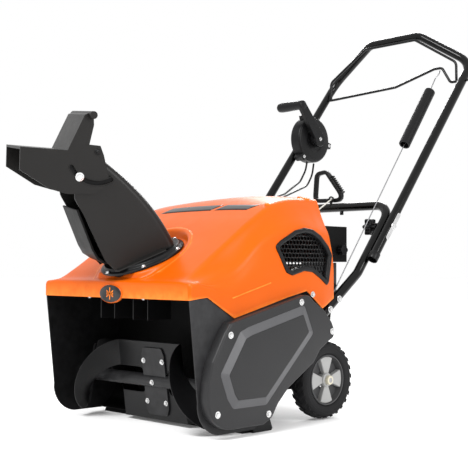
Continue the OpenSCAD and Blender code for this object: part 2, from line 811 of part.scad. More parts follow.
// The bail: a wire loop under the top of the handle, with a cranked link between its pivots
module bail() color([0.05, 0.05, 0.05]) {
    x = 245;
    y = bail_y;
    z = bail_z;
    difference() {
        cable_run([[-x, y, z - 5], [-x, y - 1, z + 57], [-97, y - 3, z + 148], [97, y - 3, z + 148],
            [x, y - 1, z + 57], [x, y, z - 5]], wire_r, 24);
        translate([-300, y - 20, z - 20]) cube([600, 40, 20]);
    }
    cable_run([[-x - 40, y, z - 1.5], [-x + 12, y, z - 1.5], [166, y, z + 47], [194, y, z + 47],
        [224, y, z - 1.5], [x + 40, y, z - 1.5]], wire_r, 24);
}

hump = [180, bail_y, bail_z + 48];
cable_low = [226, 336, 328];

module cable_sleeve() color([0.05, 0.05, 0.05])
    difference() {
        rod(at(hump, cable_low, 0.12), at(hump, cable_low, 0.38), 13);
        rod(at(hump, cable_low, 0.11), at(hump, cable_low, 0.39), 9);
    }

module clutch_cable() color([0.62, 0.62, 0.62]) {
    rod(at(hump, cable_low, 0.13), at(hump, cable_low, 0.30), 8);
    cable_run([hump - [0, 5, 8], at(hump, cable_low, 0.2)], 2);
    cable_run([at(hump, cable_low, 0.29), cable_low, [246, 238, 272], [belt_mid - 8, 166, 266],
        [belt_mid + 1, 146, 292], [belt_mid + 8, 82, 291]], 1.6);
}

module crank_housing() color([0.08, 0.08, 0.08]) on_crank() {
    inner = upper_half - tube_r;
    difference() {
        rod_x(inner - 42, inner, 0, 0, 74);
        rod_x(inner - 60, inner - 30, 0, 0, 12.1);
    }
    for (a = [20, 140, 260])
        rotate([a, 0, 0]) translate([inner - 42, -12, 64]) cube([36, 24, 22]);
    difference() {
        translate([inner - 8, -24, -58]) rotate([90 - handle_slope, 0, 0]) cube([44, 30, 70]);
        rod([upper_half, -120, -120 * tan(handle_slope)], [upper_half, 120, 120 * tan(handle_slope)],
            tube_r);
    }
}

// Everything on the left tube's crank is drawn on the right and mirrored
module on_crank() {
    mirror([1, 0, 0]) translate([0, crank_y, crank_z]) children();
}

module crank_arm() color([0.07, 0.07, 0.07])
    on_crank() {
        face = upper_half - tube_r - 42;
        tip = [-84, 102];
        rod_x(face - 1, face + 10, 0, 0, 12);
        rod_x(face - 24, face - 1, 0, 0, 24);
        extrude_x(face - 24, face - 10) hull() {
            circle(r = 20, $fn = 32);
            translate(tip) circle(r = 14, $fn = 32);
        }
        rod_x(face - 24, face + 84, tip[0], tip[1], 15);
    }

module chute_cables() color([0.05, 0.05, 0.05])
    for (d = [0, 1]) {
        x0 = -224 - 14 * d;
        y0 = 739 + 49 * d;
        cable_run([[x0, y0, 729 - d], [x0 + 6, y0 - 14, 700 - 10 * d], [x0 + 24, y0 - 60, 660 - 10 * d],
            [-158 - 8 * d, 560, 612 - 10 * d], [-100 - 10 * d, 430, 586 - 12 * d],
            [-60 - 10 * d, 340, 560 - 12 * d], [-40 - 12 * d, 240, 520 - 10 * d],
            [-30 - 20 * d, 60, 478], [-24 - 24 * d, 4, 450]], 3);
    }

// ---- starter -------------------------------------------------------------------------------

// A triangular loop for the hand, standing on the lower handle's crossbar
module grip_loop(r) {
    hull() {
        translate([-44, 4]) circle(r = r, $fn = 32);
        translate([-32, 62]) circle(r = r, $fn = 32);
        translate([54, 2]) circle(r = r, $fn = 32);
    }
}

module starter_handle() color([0.06, 0.06, 0.06])
    translate([0, on_slope(562) + 18, 597]) {
        rotate([90, 0, 0]) linear_extrude(14) difference() {
            grip_loop(15);
            grip_loop(3);
        }
        translate([20, -7, -18]) cylinder(h = 10, r = 6, $fn = 24);
    }

module starter_rope() color([0.75, 0.75, 0.72])
    cable_run([[20, on_slope(562) + 3.4, 586], [20, on_slope(562) - 6, 586], [-96, 236, 330],
        [-122, engine_y + 66, engine_z + 67]], 2);

auger_housing();
left_side_plate();
right_side_plate();
scraper_bar();
discharge_duct();
hood();
left_grille();
right_grille();
oval_badge();
belt_cover();
cover_screws();
skid_shoes();
engine_frame();
axle();
left_tyre();
left_rim();
right_tyre();
right_rim();
axle_caps();
auger_shaft();
auger_hub();
upper_paddle();
lower_paddle();
paddle_bolts();
auger_bearings();
auger_pulley();
engine_pulley();
drive_belt();
idler_pulley();
idler_arm();
idler_spring();
engine_block();
crankshaft();
recoil_housing();
muffler();
muffler_guard();
fuel_tank();
fuel_cap();
control_box();
choke_knob();
primer_bulb();
start_key();
chute_ring();
chute();
chute_apron();
chute_bolts();
deflector();
lower_handle();
upper_handle();
left_knob();
right_knob();
handle_bolts();
bail();
clutch_cable();
cable_sleeve();
crank_housing();
crank_arm();
chute_cables();
starter_handle();
starter_rope();
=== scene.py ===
"""Looks of the snow blower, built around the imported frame. Lengths are in millimetres unless a name says _M."""
import json
import math

import bmesh
import bpy
import numpy as np
from mathutils import Matrix, Vector

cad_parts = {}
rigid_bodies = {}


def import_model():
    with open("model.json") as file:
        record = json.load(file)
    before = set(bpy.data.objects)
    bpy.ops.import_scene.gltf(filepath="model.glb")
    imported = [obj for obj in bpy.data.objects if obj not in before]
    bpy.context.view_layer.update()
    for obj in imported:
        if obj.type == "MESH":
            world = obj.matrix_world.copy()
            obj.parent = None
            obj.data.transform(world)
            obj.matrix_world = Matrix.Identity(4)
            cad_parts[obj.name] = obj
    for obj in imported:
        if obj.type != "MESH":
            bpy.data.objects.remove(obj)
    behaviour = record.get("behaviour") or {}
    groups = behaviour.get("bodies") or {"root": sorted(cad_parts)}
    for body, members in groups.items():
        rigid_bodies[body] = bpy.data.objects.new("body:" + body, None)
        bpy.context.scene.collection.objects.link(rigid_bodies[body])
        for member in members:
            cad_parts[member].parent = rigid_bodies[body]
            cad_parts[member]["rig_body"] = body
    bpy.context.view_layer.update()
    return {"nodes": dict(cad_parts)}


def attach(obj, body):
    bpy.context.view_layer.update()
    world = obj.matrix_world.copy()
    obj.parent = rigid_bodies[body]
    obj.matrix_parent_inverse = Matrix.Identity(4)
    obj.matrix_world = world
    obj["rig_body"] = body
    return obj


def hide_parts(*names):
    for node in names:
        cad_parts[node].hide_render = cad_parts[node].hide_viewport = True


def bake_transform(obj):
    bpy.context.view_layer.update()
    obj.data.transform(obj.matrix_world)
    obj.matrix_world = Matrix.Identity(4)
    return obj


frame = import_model()
MM = 0.001
WELD_M = 2e-5
SIDES = ((-1, "left"), (1, "right"))

# ---- materials -----------------------------------------------------------------------------


def linear(c):
    """An sRGB colour in 0..255 as linear RGBA."""
    out = []
    for v in c:
        v = v / 255
        out.append(v / 12.92 if v <= 0.04045 else ((v + 0.055) / 1.055) ** 2.4)
    return (*out, 1)


def material(name, color, rough, metal=0.0, mottle=0.08, spots=9, grain=900, depth=0.05, coat=0.0,
             edge_wear_and_highlight=None, specular=0.5):
    """Painted, moulded or bare surface: mottled colour, uneven gloss, fine grain, and lighter edges that are rubbed
    wear on steel and a painted highlight on the orange shell.
    """
    m = bpy.data.materials.new(name)
    m.use_nodes = True
    nodes, links = m.node_tree.nodes, m.node_tree.links

    def put(node, values):
        for socket, value in values.items():
            node.inputs[socket].default_value = value
        return node

    shader = put(nodes["Principled BSDF"], {"Metallic": metal, "Coat Weight": coat, "Coat Roughness": 0.12,
                                            "Specular IOR Level": specular})
    coords = nodes.new("ShaderNodeTexCoord")

    def noise(scale, detail):
        n = put(nodes.new("ShaderNodeTexNoise"), {"Scale": scale, "Detail": detail})
        links.new(coords.outputs["Object"], n.inputs["Vector"])
        return n.outputs["Fac"]

    base = linear(color)
    ramp = nodes.new("ShaderNodeValToRGB")
    ramp.color_ramp.elements[0].position = 0.3
    ramp.color_ramp.elements[1].position = 0.7
    ramp.color_ramp.elements[0].color = (*[v * (1 - mottle) for v in base[:3]], 1)
    ramp.color_ramp.elements[1].color = (*[min(1, v * (1 + mottle)) for v in base[:3]], 1)
    links.new(noise(spots, 5), ramp.inputs["Fac"])
    out = ramp.outputs["Color"]
    # lighter colour on sharp edges: rubbed wear on the steel, and a painted highlight along the orange shell's ridges
    if edge_wear_and_highlight:
        geometry = nodes.new("ShaderNodeNewGeometry")
        edge = put(nodes.new("ShaderNodeMapRange"), {"From Min": 0.53, "From Max": 0.62})
        links.new(geometry.outputs["Pointiness"], edge.inputs["Value"])
        edge_wear_and_highlight_mask = nodes.new("ShaderNodeMath")
        edge_wear_and_highlight_mask.operation = "MULTIPLY"
        links.new(edge.outputs["Result"], edge_wear_and_highlight_mask.inputs[0])
        links.new(noise(60, 6), edge_wear_and_highlight_mask.inputs[1])
        mix = nodes.new("ShaderNodeMix")
        mix.data_type = "RGBA"
        mix.inputs[7].default_value = linear(edge_wear_and_highlight)
        links.new(edge_wear_and_highlight_mask.outputs["Value"], mix.inputs["Factor"])
        links.new(out, mix.inputs[6])
        out = mix.outputs[2]
    links.new(out, shader.inputs["Base Color"])
    gloss = put(nodes.new("ShaderNodeMapRange"), {"To Min": max(0.04, rough - 0.08), "To Max": min(1, rough + 0.08)})
    links.new(noise(26, 6), gloss.inputs["Value"])
    links.new(gloss.outputs["Result"], shader.inputs["Roughness"])
    bump = put(nodes.new("ShaderNodeBump"), {"Strength": depth, "Distance": 0.001})
    links.new(noise(grain, 3), bump.inputs["Height"])
    links.new(bump.outputs["Normal"], shader.inputs["Normal"])
    return m


# the shell's lighter edge colour is a painted highlight along the hood's ridges and creases
ORANGE = material("orange_shell", (196, 82, 0), 0.32, mottle=0.03, grain=160, depth=0.03, edge_wear_and_highlight=(255, 150, 60),
                  specular=0.16)
STEEL = material("black_steel", (28, 28, 29), 0.42, mottle=0.1, grain=1400, depth=0.10, edge_wear_and_highlight=(80, 80, 82),
                 specular=0.18)
# black steel darkened below its own colour as painted shade, for the shade inside the auger housing
DARK_STEEL_PAINTED_SHADE = material("housing_steel_painted_shade", (4, 4, 4), 0.5, mottle=0.15, grain=1200, depth=0.12, edge_wear_and_highlight=(30, 30, 31),
                specular=0.1)
COVER = material("cover_plastic", (37, 37, 38), 0.40, mottle=0.05, grain=1600, depth=0.14, specular=0.22)
# a lighter copy of the cover's plastic: a painted highlight on the bevelled band round the belt cover's panel
BAND_PAINTED_HIGHLIGHT = material("band_plastic_painted_highlight", (72, 72, 74), 0.36, mottle=0.05, grain=1600, depth=0.14, specular=0.3)
BLACK = material("black_plastic", (14, 14, 15), 0.38, grain=1500, depth=0.16, specular=0.18)
CHUTE = material("chute_plastic", (23, 22, 21), 0.36, mottle=0.06, grain=1100, depth=0.12, specular=0.2)
TUBE = material("tube_enamel", (4, 4, 4), 0.16, mottle=0.1, grain=500, depth=0.03, specular=0.25)
WIRE = material("wire_coat", (8, 8, 9), 0.28, mottle=0.1, depth=0.04, specular=0.25)
RUBBER = material("tyre_rubber", (25, 25, 26), 0.68, mottle=0.12, grain=1300, depth=0.22, specular=0.15)
BELT = material("belt_rubber", (16, 16, 17), 0.8, mottle=0.15, grain=1500, depth=0.3, specular=0.15)
PADDLE = material("paddle_steel", (15, 15, 16), 0.36, mottle=0.18, spots=22, depth=0.12, edge_wear_and_highlight=(96, 96, 98),
                  specular=0.2)
ZINC = material("zinc", (205, 205, 205), 0.26, metal=0.9, mottle=0.1, spots=60, grain=1200)
BARE = material("machined_steel", (150, 150, 152), 0.34, metal=1.0, mottle=0.12, spots=40, grain=1500, depth=0.08)
CAST = material("cast_aluminium", (140, 141, 144), 0.55, metal=0.75, mottle=0.1, spots=30, grain=1100, depth=0.4)
SPOKE = material("spoke_grey", (146, 146, 145), 0.45, mottle=0.05, grain=1300, depth=0.12, specular=0.35)
RIM = material("rim_dark", (56, 56, 57), 0.5, grain=1300, depth=0.12, specular=0.3)
CREAM = material("cap_cream", (190, 184, 164), 0.42, mottle=0.05, grain=1200, depth=0.1)
HOT = material("muffler_steel", (96, 92, 86), 0.5, metal=0.8, mottle=0.25, spots=24, depth=0.2)
RED = material("red_rubber", (132, 18, 14), 0.35, depth=0.08)
ROPE = material("braided_rope", (196, 194, 186), 0.8, mottle=0.2, spots=500, grain=2500, depth=0.5)
BADGE = material("badge_black", (12, 12, 13), 0.30, depth=0.04, coat=0.3, specular=0.25)

# ---- mesh helpers --------------------------------------------------------------------------

# the ring's plane leans 25 degrees forward, and the chute stands turned 20 degrees to the right
RING = Matrix.Translation((0, -128, 409)) @ Matrix.Rotation(math.radians(25), 4, "X")
CHUTE_FRAME = RING @ Matrix.Rotation(math.radians(-20), 4, "Z")


def chute_point(p):
    """Where a (forward, across, height) point of the chute's own frame stands."""
    return CHUTE_FRAME @ Vector((p[1], -p[0], p[2]))


def linked(name, data):
    """A new object of the scene."""
    o = bpy.data.objects.new(name, data)
    bpy.context.scene.collection.objects.link(o)
    return o


def new_mesh(name, verts, faces, weld=False):
    """A mesh object from points in mm, with its faces turned outwards."""
    mesh = bpy.data.meshes.new(name)
    mesh.from_pydata([tuple(Vector(p) * MM) for p in verts], [], faces)
    bm = bmesh.new()
    bm.from_mesh(mesh)
    if weld:
        bmesh.ops.remove_doubles(bm, verts=bm.verts, dist=WELD_M)
    bmesh.ops.recalc_face_normals(bm, faces=bm.faces)
    bm.to_mesh(mesh)
    bm.free()
    return linked(name, mesh)


def make(name, verts, faces, mat, body, replaces=(), bevel=0.0, segments=2, angle=32, solid=0.0,
         weld=False, place=None):
    """A mesh piece from points in mm, welded if asked, then dressed. place maps its points to the row frame."""
    if place:
        verts = [place(p) for p in verts]
    return dress(new_mesh(name, verts, faces, weld), mat, body, replaces, bevel, segments, angle, solid)


def dress(o, mat, body, replaces=(), bevel=0.0, segments=2, angle=32, solid=0.0):
    """Gives the piece its material, shading, wall thickness and bevel (mm), and sets it riding on its body."""
    o.data.materials.clear()
    o.data.materials.append(mat)
    o.data.shade_smooth()
    o.data.set_sharp_from_angle(angle=math.radians(angle))
    if solid:
        s = o.modifiers.new("thick", "SOLIDIFY")
        s.thickness = solid * MM
        s.offset = -1
    if bevel:
        b = o.modifiers.new("edges", "BEVEL")
        b.width = bevel * MM
        b.segments = segments
        b.limit_method = "ANGLE"
        b.angle_limit = math.radians(angle)
        w = o.modifiers.new("normals", "WEIGHTED_NORMAL")
        w.keep_sharp = False
    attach(o, body)
    if replaces:
        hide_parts(*replaces)
    return o


def cut(o, verts, faces):
    """Takes that volume out of the piece for good."""
    cutter = new_mesh("cutter", verts, faces)
    m = o.modifiers.new("cut", "BOOLEAN")
    m.operation = "DIFFERENCE"
    m.object = cutter
    m.solver = "EXACT"
    bake(o)
    bpy.data.objects.remove(cutter)


def bake(o):
    """Applies the piece's modifiers."""
    bpy.context.view_layer.update()
    done = bpy.data.meshes.new_from_object(o.evaluated_get(bpy.context.evaluated_depsgraph_get()))
    o.modifiers.clear()
    o.data = done


def cos_sin(degrees):
    return math.cos(math.radians(degrees)), math.sin(math.radians(degrees))


def axes(x, z, at):
    """The frame with those X and Z axes at that point."""
    m = Matrix((x, z.cross(x), z)).transposed().to_4x4()
    m.translation = Vector(at)
    return m


def tube_faces(rings, n, closed=False):
    """The quads between rings of n points each, with end caps on an open tube."""
    faces = []
    for i in range(rings if closed else rings - 1):
        for j in range(n):
            a, b = i * n, ((i + 1) % rings) * n
            faces.append((a + j, a + (j + 1) % n, b + (j + 1) % n, b + j))
    if not closed:
        faces.append(tuple(range(n - 1, -1, -1)))
        faces.append(tuple((rings - 1) * n + j for j in range(n)))
    return faces


def grid_faces(rows, n):
    """The quads between open rows of n points each."""
    return [(i * n + j, i * n + j + 1, (i + 1) * n + j + 1, (i + 1) * n + j)
            for i in range(rows - 1) for j in range(n - 1)]


def prism(outline, x0, x1):
    """Outline in Y-Z given thickness along X."""
    return layers([(outline, x0), (outline, x1)])


def layers(rows):
    """A solid through (Y-Z outline, X) rows of equal length."""
    return [(x, *p) for row, x in rows for p in row], tube_faces(len(rows), len(rows[0][0]))


def arc(cx, cy, r, a0, a1, n):
    """n + 1 points of an arc, with its angles in degrees."""
    return [(cx + r * math.cos(math.radians(a0 + (a1 - a0) * i / n)),
             cy + r * math.sin(math.radians(a0 + (a1 - a0) * i / n))) for i in range(n + 1)]


def inset(outline, d):
    """The outline moved inwards by d along its corners' bisectors."""
    p = np.array(outline, float)
    area = 0.5 * np.sum(p[:, 0] * np.roll(p[:, 1], -1) - np.roll(p[:, 0], -1) * p[:, 1])
    s = 1 if area > 0 else -1
    a, b = p - np.roll(p, 1, 0), np.roll(p, -1, 0) - p
    a /= np.linalg.norm(a, axis=1)[:, None]
    b /= np.linalg.norm(b, axis=1)[:, None]
    na, nb = np.stack([-a[:, 1], a[:, 0]], 1) * s, np.stack([-b[:, 1], b[:, 0]], 1) * s
    m = na + nb
    m /= np.sum(m * na, axis=1)[:, None]
    return [tuple(q) for q in p + m * d]


def corner(s, p, e, n):
    """n + 1 points from s to e, drawn towards p."""
    return [tuple((1 - t) ** 2 * s + 2 * t * (1 - t) * p + t * t * e) for t in (j / n for j in range(n + 1))]


def round_corners(points, radius, n=5):
    """The closed outline with its corners rounded."""
    out = []
    k = len(points)
    for i in range(k):
        a, p, b = (np.array(points[(i + j) % k], float) for j in (-1, 0, 1))
        u, w = a - p, b - p
        lu, lw = np.linalg.norm(u), np.linalg.norm(w)
        turn = math.acos(max(-1, min(1, float(u @ w) / (lu * lw))))
        d = min(radius / math.tan(turn / 2) if turn < 3.1 else 0, lu * 0.48, lw * 0.48)
        out += corner(p + u / lu * d, p, p + w / lw * d, n)
    return out


def bent(points, radius, n=8):
    """The open path with round bends of that radius."""
    pts = [np.array(p, float) for p in points]
    out = [pts[0]]
    for a, p, b in zip(pts, pts[1:], pts[2:]):
        u, w = a - p, b - p
        lu, lw = np.linalg.norm(u), np.linalg.norm(w)
        u, w = u / lu, w / lw
        turn = math.acos(max(-1, min(1, float(u @ w))))
        if turn > 3.12:
            out.append(p)
            continue
        d = min(radius / math.tan(turn / 2), lu * 0.49, lw * 0.49)
        r = d * math.tan(turn / 2)
        axis = (u + w) / np.linalg.norm(u + w)
        c = p + axis * math.hypot(d, r)
        s, e = p + u * d - c, p + w * d - c
        sweep_angle = math.pi - turn
        for j in range(n + 1):
            t = j / n
            k0, k1 = math.sin((1 - t) * sweep_angle), math.sin(t * sweep_angle)
            out.append(c + (s * k0 + e * k1) / math.sin(sweep_angle))
    out.append(pts[-1])
    return out


def sweep(path, section):
    """Rings of a section, (side, up) points, carried along a path without twisting."""
    p = np.array(path, float)
    k = len(p)
    d = np.gradient(p, axis=0)
    d /= np.linalg.norm(d, axis=1)[:, None]
    ref = np.array([0, 0, 1.0]) if abs(d[0][2]) < 0.9 else np.array([0, 1.0, 0])
    side = np.cross(d[0], ref)
    side /= np.linalg.norm(side)
    verts = []
    for i in range(k):
        side = side - d[i] * (side @ d[i])
        side /= np.linalg.norm(side)
        up = np.cross(side, d[i])
        verts += [tuple(p[i] + side * s + up * t) for s, t in section]
    return verts, tube_faces(k, len(section))


def circle(r, n=20):
    """The closed section of a round bar."""
    return [(r * math.cos(2 * math.pi * i / n), r * math.sin(2 * math.pi * i / n)) for i in range(n)]


def lathe(profile, centre, axis, n=64):
    """Profile of (radius, along) points turned round an axis: 'x', 'y', 'z' or a matrix."""
    turn = {"x": Matrix(((0, 0, 1), (1, 0, 0), (0, 1, 0))).to_4x4(),
            "y": Matrix(((1, 0, 0), (0, 0, 1), (0, -1, 0))).to_4x4(), "z": Matrix.Identity(4)}
    m = (Matrix.Translation(centre) @ turn[axis]) if isinstance(axis, str) else axis
    k = len(profile)
    verts = [tuple(m @ Vector((r * math.cos(2 * math.pi * j / n), r * math.sin(2 * math.pi * j / n), z)))
             for j in range(n) for r, z in profile]
    faces = []
    for j in range(n):
        for i in range(k):
            a, b = j * k, ((j + 1) % n) * k
            faces.append((a + i, a + (i + 1) % k, b + (i + 1) % k, b + i))
    return verts, faces


def merged(*parts):
    """Several (points, faces) pairs as one."""
    verts, faces = [], []
    for v, f in parts:
        faces += [tuple(i + len(verts) for i in face) for face in f]
        verts += list(v)
    return verts, faces


def refine(node, mat, bevel=0.8, segments=2, angle=32):
    """A clean copy of a CAD node: flat faces joined up and its edges rounded."""
    source = frame["nodes"][node]
    bm = bmesh.new()
    bm.from_mesh(source.data)
    bmesh.ops.remove_doubles(bm, verts=bm.verts, dist=1e-5)
    bmesh.ops.dissolve_limit(bm, angle_limit=math.radians(0.6), verts=bm.verts, edges=bm.edges)
    mesh = bpy.data.meshes.new(node + "_skin")
    bm.to_mesh(mesh)
    bm.free()
    dress(linked(mesh.name, mesh), mat, source["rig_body"], [node], bevel, segments, angle)


def screw(name, at, direction, r, body, mat=ZINC, washer=1.5, head=3.2, sides=6):
    """A hexagon screw head with a domed top on a round washer."""
    z = Vector(direction).normalized()
    m = axes(z.orthogonal().normalized(), z, at)
    disc = lathe([(0.01, 0), (r * 1.5, 0), (r * 1.5, washer * 0.7), (r * 1.38, washer), (0.01, washer)], None, m, 28)
    profile = [(0.01, 0), (r, 0), (r, head * 0.78), (r * 0.84, head), (0.01, head * 1.08)]
    hexed = lathe(profile, None, m @ Matrix.Translation((0, 0, washer * 0.95)), sides)
    return make(name, *merged(disc, hexed), mat, body, angle=25, weld=True)


# ---- hood ----------------------------------------------------------------------------------

LIP_Y, LIP_TOP, LIP_BOTTOM, LIP_ROUND = -225, 353, 313, 7
# y, top, ridge x and z, flare x and z, side x and z
HOOD_ROWS = np.array([
    [-225, 353, 238, 353, 276, 351, 281, 345], [-202, 360, 238, 359, 276, 352, 281, 345],
    [-172, 379, 237, 378, 273, 354, 281, 338], [-88, 436, 236, 434, 271, 368, 281, 319],
    [23, 511, 235, 508, 270, 449, 281, 348], [90, 548, 232, 543, 270, 475, 281, 362],
    [165, 568, 222, 560, 268, 487, 279, 372], [230, 576, 212, 564, 262, 478, 274, 350],
    [288, 581, 203, 565, 246, 470, 262, 400]], float)
HOOD_EDGE = np.array([[-225, 313], [-202, 316], [-172, 319], [-88, 270], [23, 297], [90, 314], [165, 329],
                      [230, 284], [288, 308]], float)


def smooth_rows(y):
    """The hood's rows at y, on smooth curves that don't overshoot."""
    ys = HOOD_ROWS[:, 0]
    i = int(np.clip(np.searchsorted(ys, y) - 1, 0, len(ys) - 2))
    h = np.diff(ys)
    slope = np.diff(HOOD_ROWS, axis=0) / h[:, None]

    def tangent(k):
        if k == 0 or k == len(ys) - 1:
            return slope[0 if k == 0 else -1]
        a, b = slope[k - 1], slope[k]
        w1, w2 = 2 * h[k] + h[k - 1], h[k] + 2 * h[k - 1]
        same = a * b > 0
        safe_a, safe_b = np.where(same, a, 1), np.where(same, b, 1)
        return np.where(same, (w1 + w2) / (w1 / safe_a + w2 / safe_b), 0)

    t = (y - ys[i]) / h[i]
    p0, p1, m0, m1 = HOOD_ROWS[i], HOOD_ROWS[i + 1], tangent(i) * h[i], tangent(i + 1) * h[i]
    return ((2 * t**3 - 3 * t**2 + 1) * p0 + (t**3 - 2 * t**2 + t) * m0 + (-2 * t**3 + 3 * t**2) * p1
            + (t**3 - t**2) * m1)


def fillet(a, p, b, r, n):
    """n + 1 points that round the corner p between a and b."""
    a, p, b = (np.array(q, float) for q in (a, p, b))
    u, w = a - p, b - p
    lu, lw = max(np.linalg.norm(u), 1e-6), max(np.linalg.norm(w), 1e-6)
    d = min(r, lu * 0.45, lw * 0.45)
    return corner(p + u / lu * d, p, p + w / lw * d, n)


def run(a, b, n, bulge=0.0):
    """n points inside the straight from a to b, bulged to the left of it."""
    a, b = np.array(a, float), np.array(b, float)
    d = b - a
    length = max(np.linalg.norm(d), 1e-6)
    normal = np.array([-d[1], d[0]]) / length
    return [tuple(a + d * t + normal * bulge * 4 * t * (1 - t)) for t in [j / (n + 1) for j in range(1, n + 1)]]


def hood_half_ring(y):
    """(x, z) points from the middle of the top to the lower edge of the right side."""
    _, top, x1, z1, x2, z2, x3, z3 = smooth_rows(y)
    low = float(np.interp(y, HOOD_EDGE[:, 0], HOOD_EDGE[:, 1]))
    early = float(np.clip((y + 215) / 60, 0, 1))
    late = float(np.clip((y - 20) / 90, 0, 1))
    centre, ridge, flare, side, foot = (0, top + 2.5 * early), (x1, z1), (x2, z2), (x3, z3), (x3, low)
    r1 = fillet(centre, ridge, flare, 5 + 5 * early, 6)
    r2 = fillet(ridge, flare, side, 5 + 5 * early, 6)
    r3 = fillet(flare, side, foot, 4 + 30 * late, 5)
    pts = [centre] + run(centre, r1[0], 7, 2.0 * early) + r1
    pts += run(r1[-1], r2[0], 4, -2.5 * early) + r2 + run(r2[-1], r3[0], 5, 2.0 * early * (1 - late)) + r3
    pts += run(r3[-1], foot, 3) + [foot]
    return pts


def hood_side_x(y, z):
    """How far out the hood's side stands at that y and z."""
    pts = hood_half_ring(y)[10:]
    xs, zs = [p[0] for p in pts], [p[1] for p in pts]
    order = np.argsort(zs)
    return float(np.interp(z, np.array(zs)[order], np.array(xs)[order]))


def hood_top(x, y):
    """How high the hood's top is at that x and y."""
    pts = hood_half_ring(y)[:16]
    return float(np.interp(abs(x), [p[0] for p in pts], [p[1] for p in pts]))


stations = sorted(set([-225, -224.6, -223.2, -221, -218, -213, -207, -202, -198, -190, -181, -172]
                      + list(np.arange(-166, 286, 5.5)) + [-88, 23, 165, 230, 286, 288]))
verts, count = [], 0
for y in stations:
    half = hood_half_ring(y)
    d = max(0.0, LIP_ROUND - (y - LIP_Y))
    drop = LIP_ROUND - math.sqrt(max(0.0, LIP_ROUND**2 - d * d))
    half = [(x - drop * max(0, (x - 262) / 19), z - drop * (1 if z > LIP_TOP - 12 else 0)) for x, z in half]
    ring = [(-x, z) for x, z in reversed(half)] + half[1:]
    count = len(ring)
    verts += [(x, y, z) for x, z in ring]
faces = grid_faces(len(stations), count)
lip_base = len(verts)
verts += [(x, LIP_Y, LIP_BOTTOM) for x, _, _ in verts[:count]]
faces += [(j, j + 1, lip_base + j + 1, lip_base + j) for j in range(count - 1)]
hood = make("hood_shell", verts, faces, ORANGE, "chassis", ["hood"], solid=3, angle=28, weld=True)
bake(hood)

# the round seat of the chute: a polar patch that meets the hood's own surface at its rim
SPOKES, SEAT_IN, SEAT_OUT, SEAT_FRONT = 128, 88.5, 134.0, 92


def rim_of(k):
    """A spoke's direction in the ring's plane, and the radius at which the patch ends, short of the lip."""
    turn = 2 * math.pi * k / SPOKES
    b, a = math.cos(turn), math.sin(turn)
    limit = SEAT_FRONT / (0.9063 * -a) if a < -0.2 else 999
    return b, a, min(SEAT_OUT, limit)


def surface_h(b, a):
    """Height over the ring's plane of the hood's surface at (b, a) in that plane."""
    h = 0.0
    for _ in range(12):
        p = RING @ Vector((b, a, h))
        h -= (p.z - hood_top(p.x, p.y)) * 0.8
    return h


outline = []
for k in range(SPOKES):
    b, a, limit = rim_of(k)
    outline.append((b * (limit - 1.2), a * (limit - 1.2)))
cut(hood, [RING @ Vector((b, a, h)) for h in (-45, 120) for b, a in outline], tube_faces(2, SPOKES))
steps = [SEAT_IN, 96, 104, 110, 113, 114.5, 116, 117.5, 119, 121, 124, 129, SEAT_OUT]
verts = []
for k in range(SPOKES):
    b, a, limit = rim_of(k)
    for r0 in steps:
        r = r0 if limit > SEAT_OUT - 1 else SEAT_IN + (r0 - SEAT_IN) * (limit - SEAT_IN) / (SEAT_OUT - SEAT_IN)
        t = min(1, max(0, (r - (limit - 21)) / 11))
        s = t * t * (3 - 2 * t)
        verts.append(tuple(RING @ Vector((b * r, a * r, s * surface_h(b * r, a * r) if s else 0))))
n = len(steps)
faces = []
for k in range(SPOKES):
    a, b = k * n, ((k + 1) % SPOKES) * n
    faces += [(a + i, a + i + 1, b + i + 1, b + i) for i in range(n - 1)]
make("hood_seat", verts, faces, ORANGE, "chassis", solid=3, angle=50)

# the grille openings on both sides
GRILLE_CORNERS = [(61, 436), (79, 448), (132, 473), (166, 480), (198, 477), (230, 464), (264, 439), (277, 418),
                  (251, 346), (222, 364), (189, 380), (155, 383), (110, 372), (92, 378), (73, 414)]


def grille_line(d):
    """The grille's outline d inside its edge."""
    return round_corners(inset(GRILLE_CORNERS, d), max(3, 9 - 0.4 * d), 5)


for side in (-1, 1):
    cut(hood, *prism(grille_line(3), side * 200, side * 330))
dress(hood, ORANGE, "chassis", ["hood"], angle=26)

# a stepped crease along the lower side and two round bosses near the rear corners
for side, word in SIDES:
    crease = []
    for i in range(25):
        t = i / 24
        y, z = -95 + 128 * t, 316 + 34 * t
        crease.append((side * (hood_side_x(y, z) + 0.2), y, z))
    section = [(-1.3, -1.2), (1.3, -1.2), (1.3, 0.7), (0, 1.5), (-1.3, 0.7)]
    make("hood_crease_" + word, *sweep(crease, section), ORANGE, "chassis", angle=60)
    for k, (x, y, r) in enumerate(((196, 246, 17), (222, 84, 8))):
        z = hood_top(x, y)
        profile = [(0.01, -3), (r, -3), (r, 1.2), (r - 2, 3), (r - 5, 3.4), (r * 0.4, 2.2), (0.01, 2.0)]
        m = Matrix.Translation((side * x, y, z)) @ Matrix.Rotation(math.radians(14), 4, "Y")
        make(f"hood_boss_{word}_{k}", *lathe(profile, None, m, 40), ORANGE, "chassis", angle=40, weld=True)

# two plain slanted stripes on the top
for k, (x0, x1) in enumerate(((-134, 60), (76, 190))):
    verts, nx, ny = [], 24, 4
    for j in range(ny + 1):
        for i in range(nx + 1):
            y = 52 + 28 * j / ny
            x = x0 + (x1 - x0) * i / nx + (j / ny - 0.5) * 22
            verts.append((x, y, hood_top(x, y) + 0.5))
    make(f"hood_stripe_{k}", verts, grid_faces(ny + 1, nx + 1), BADGE, "chassis", solid=0.8)

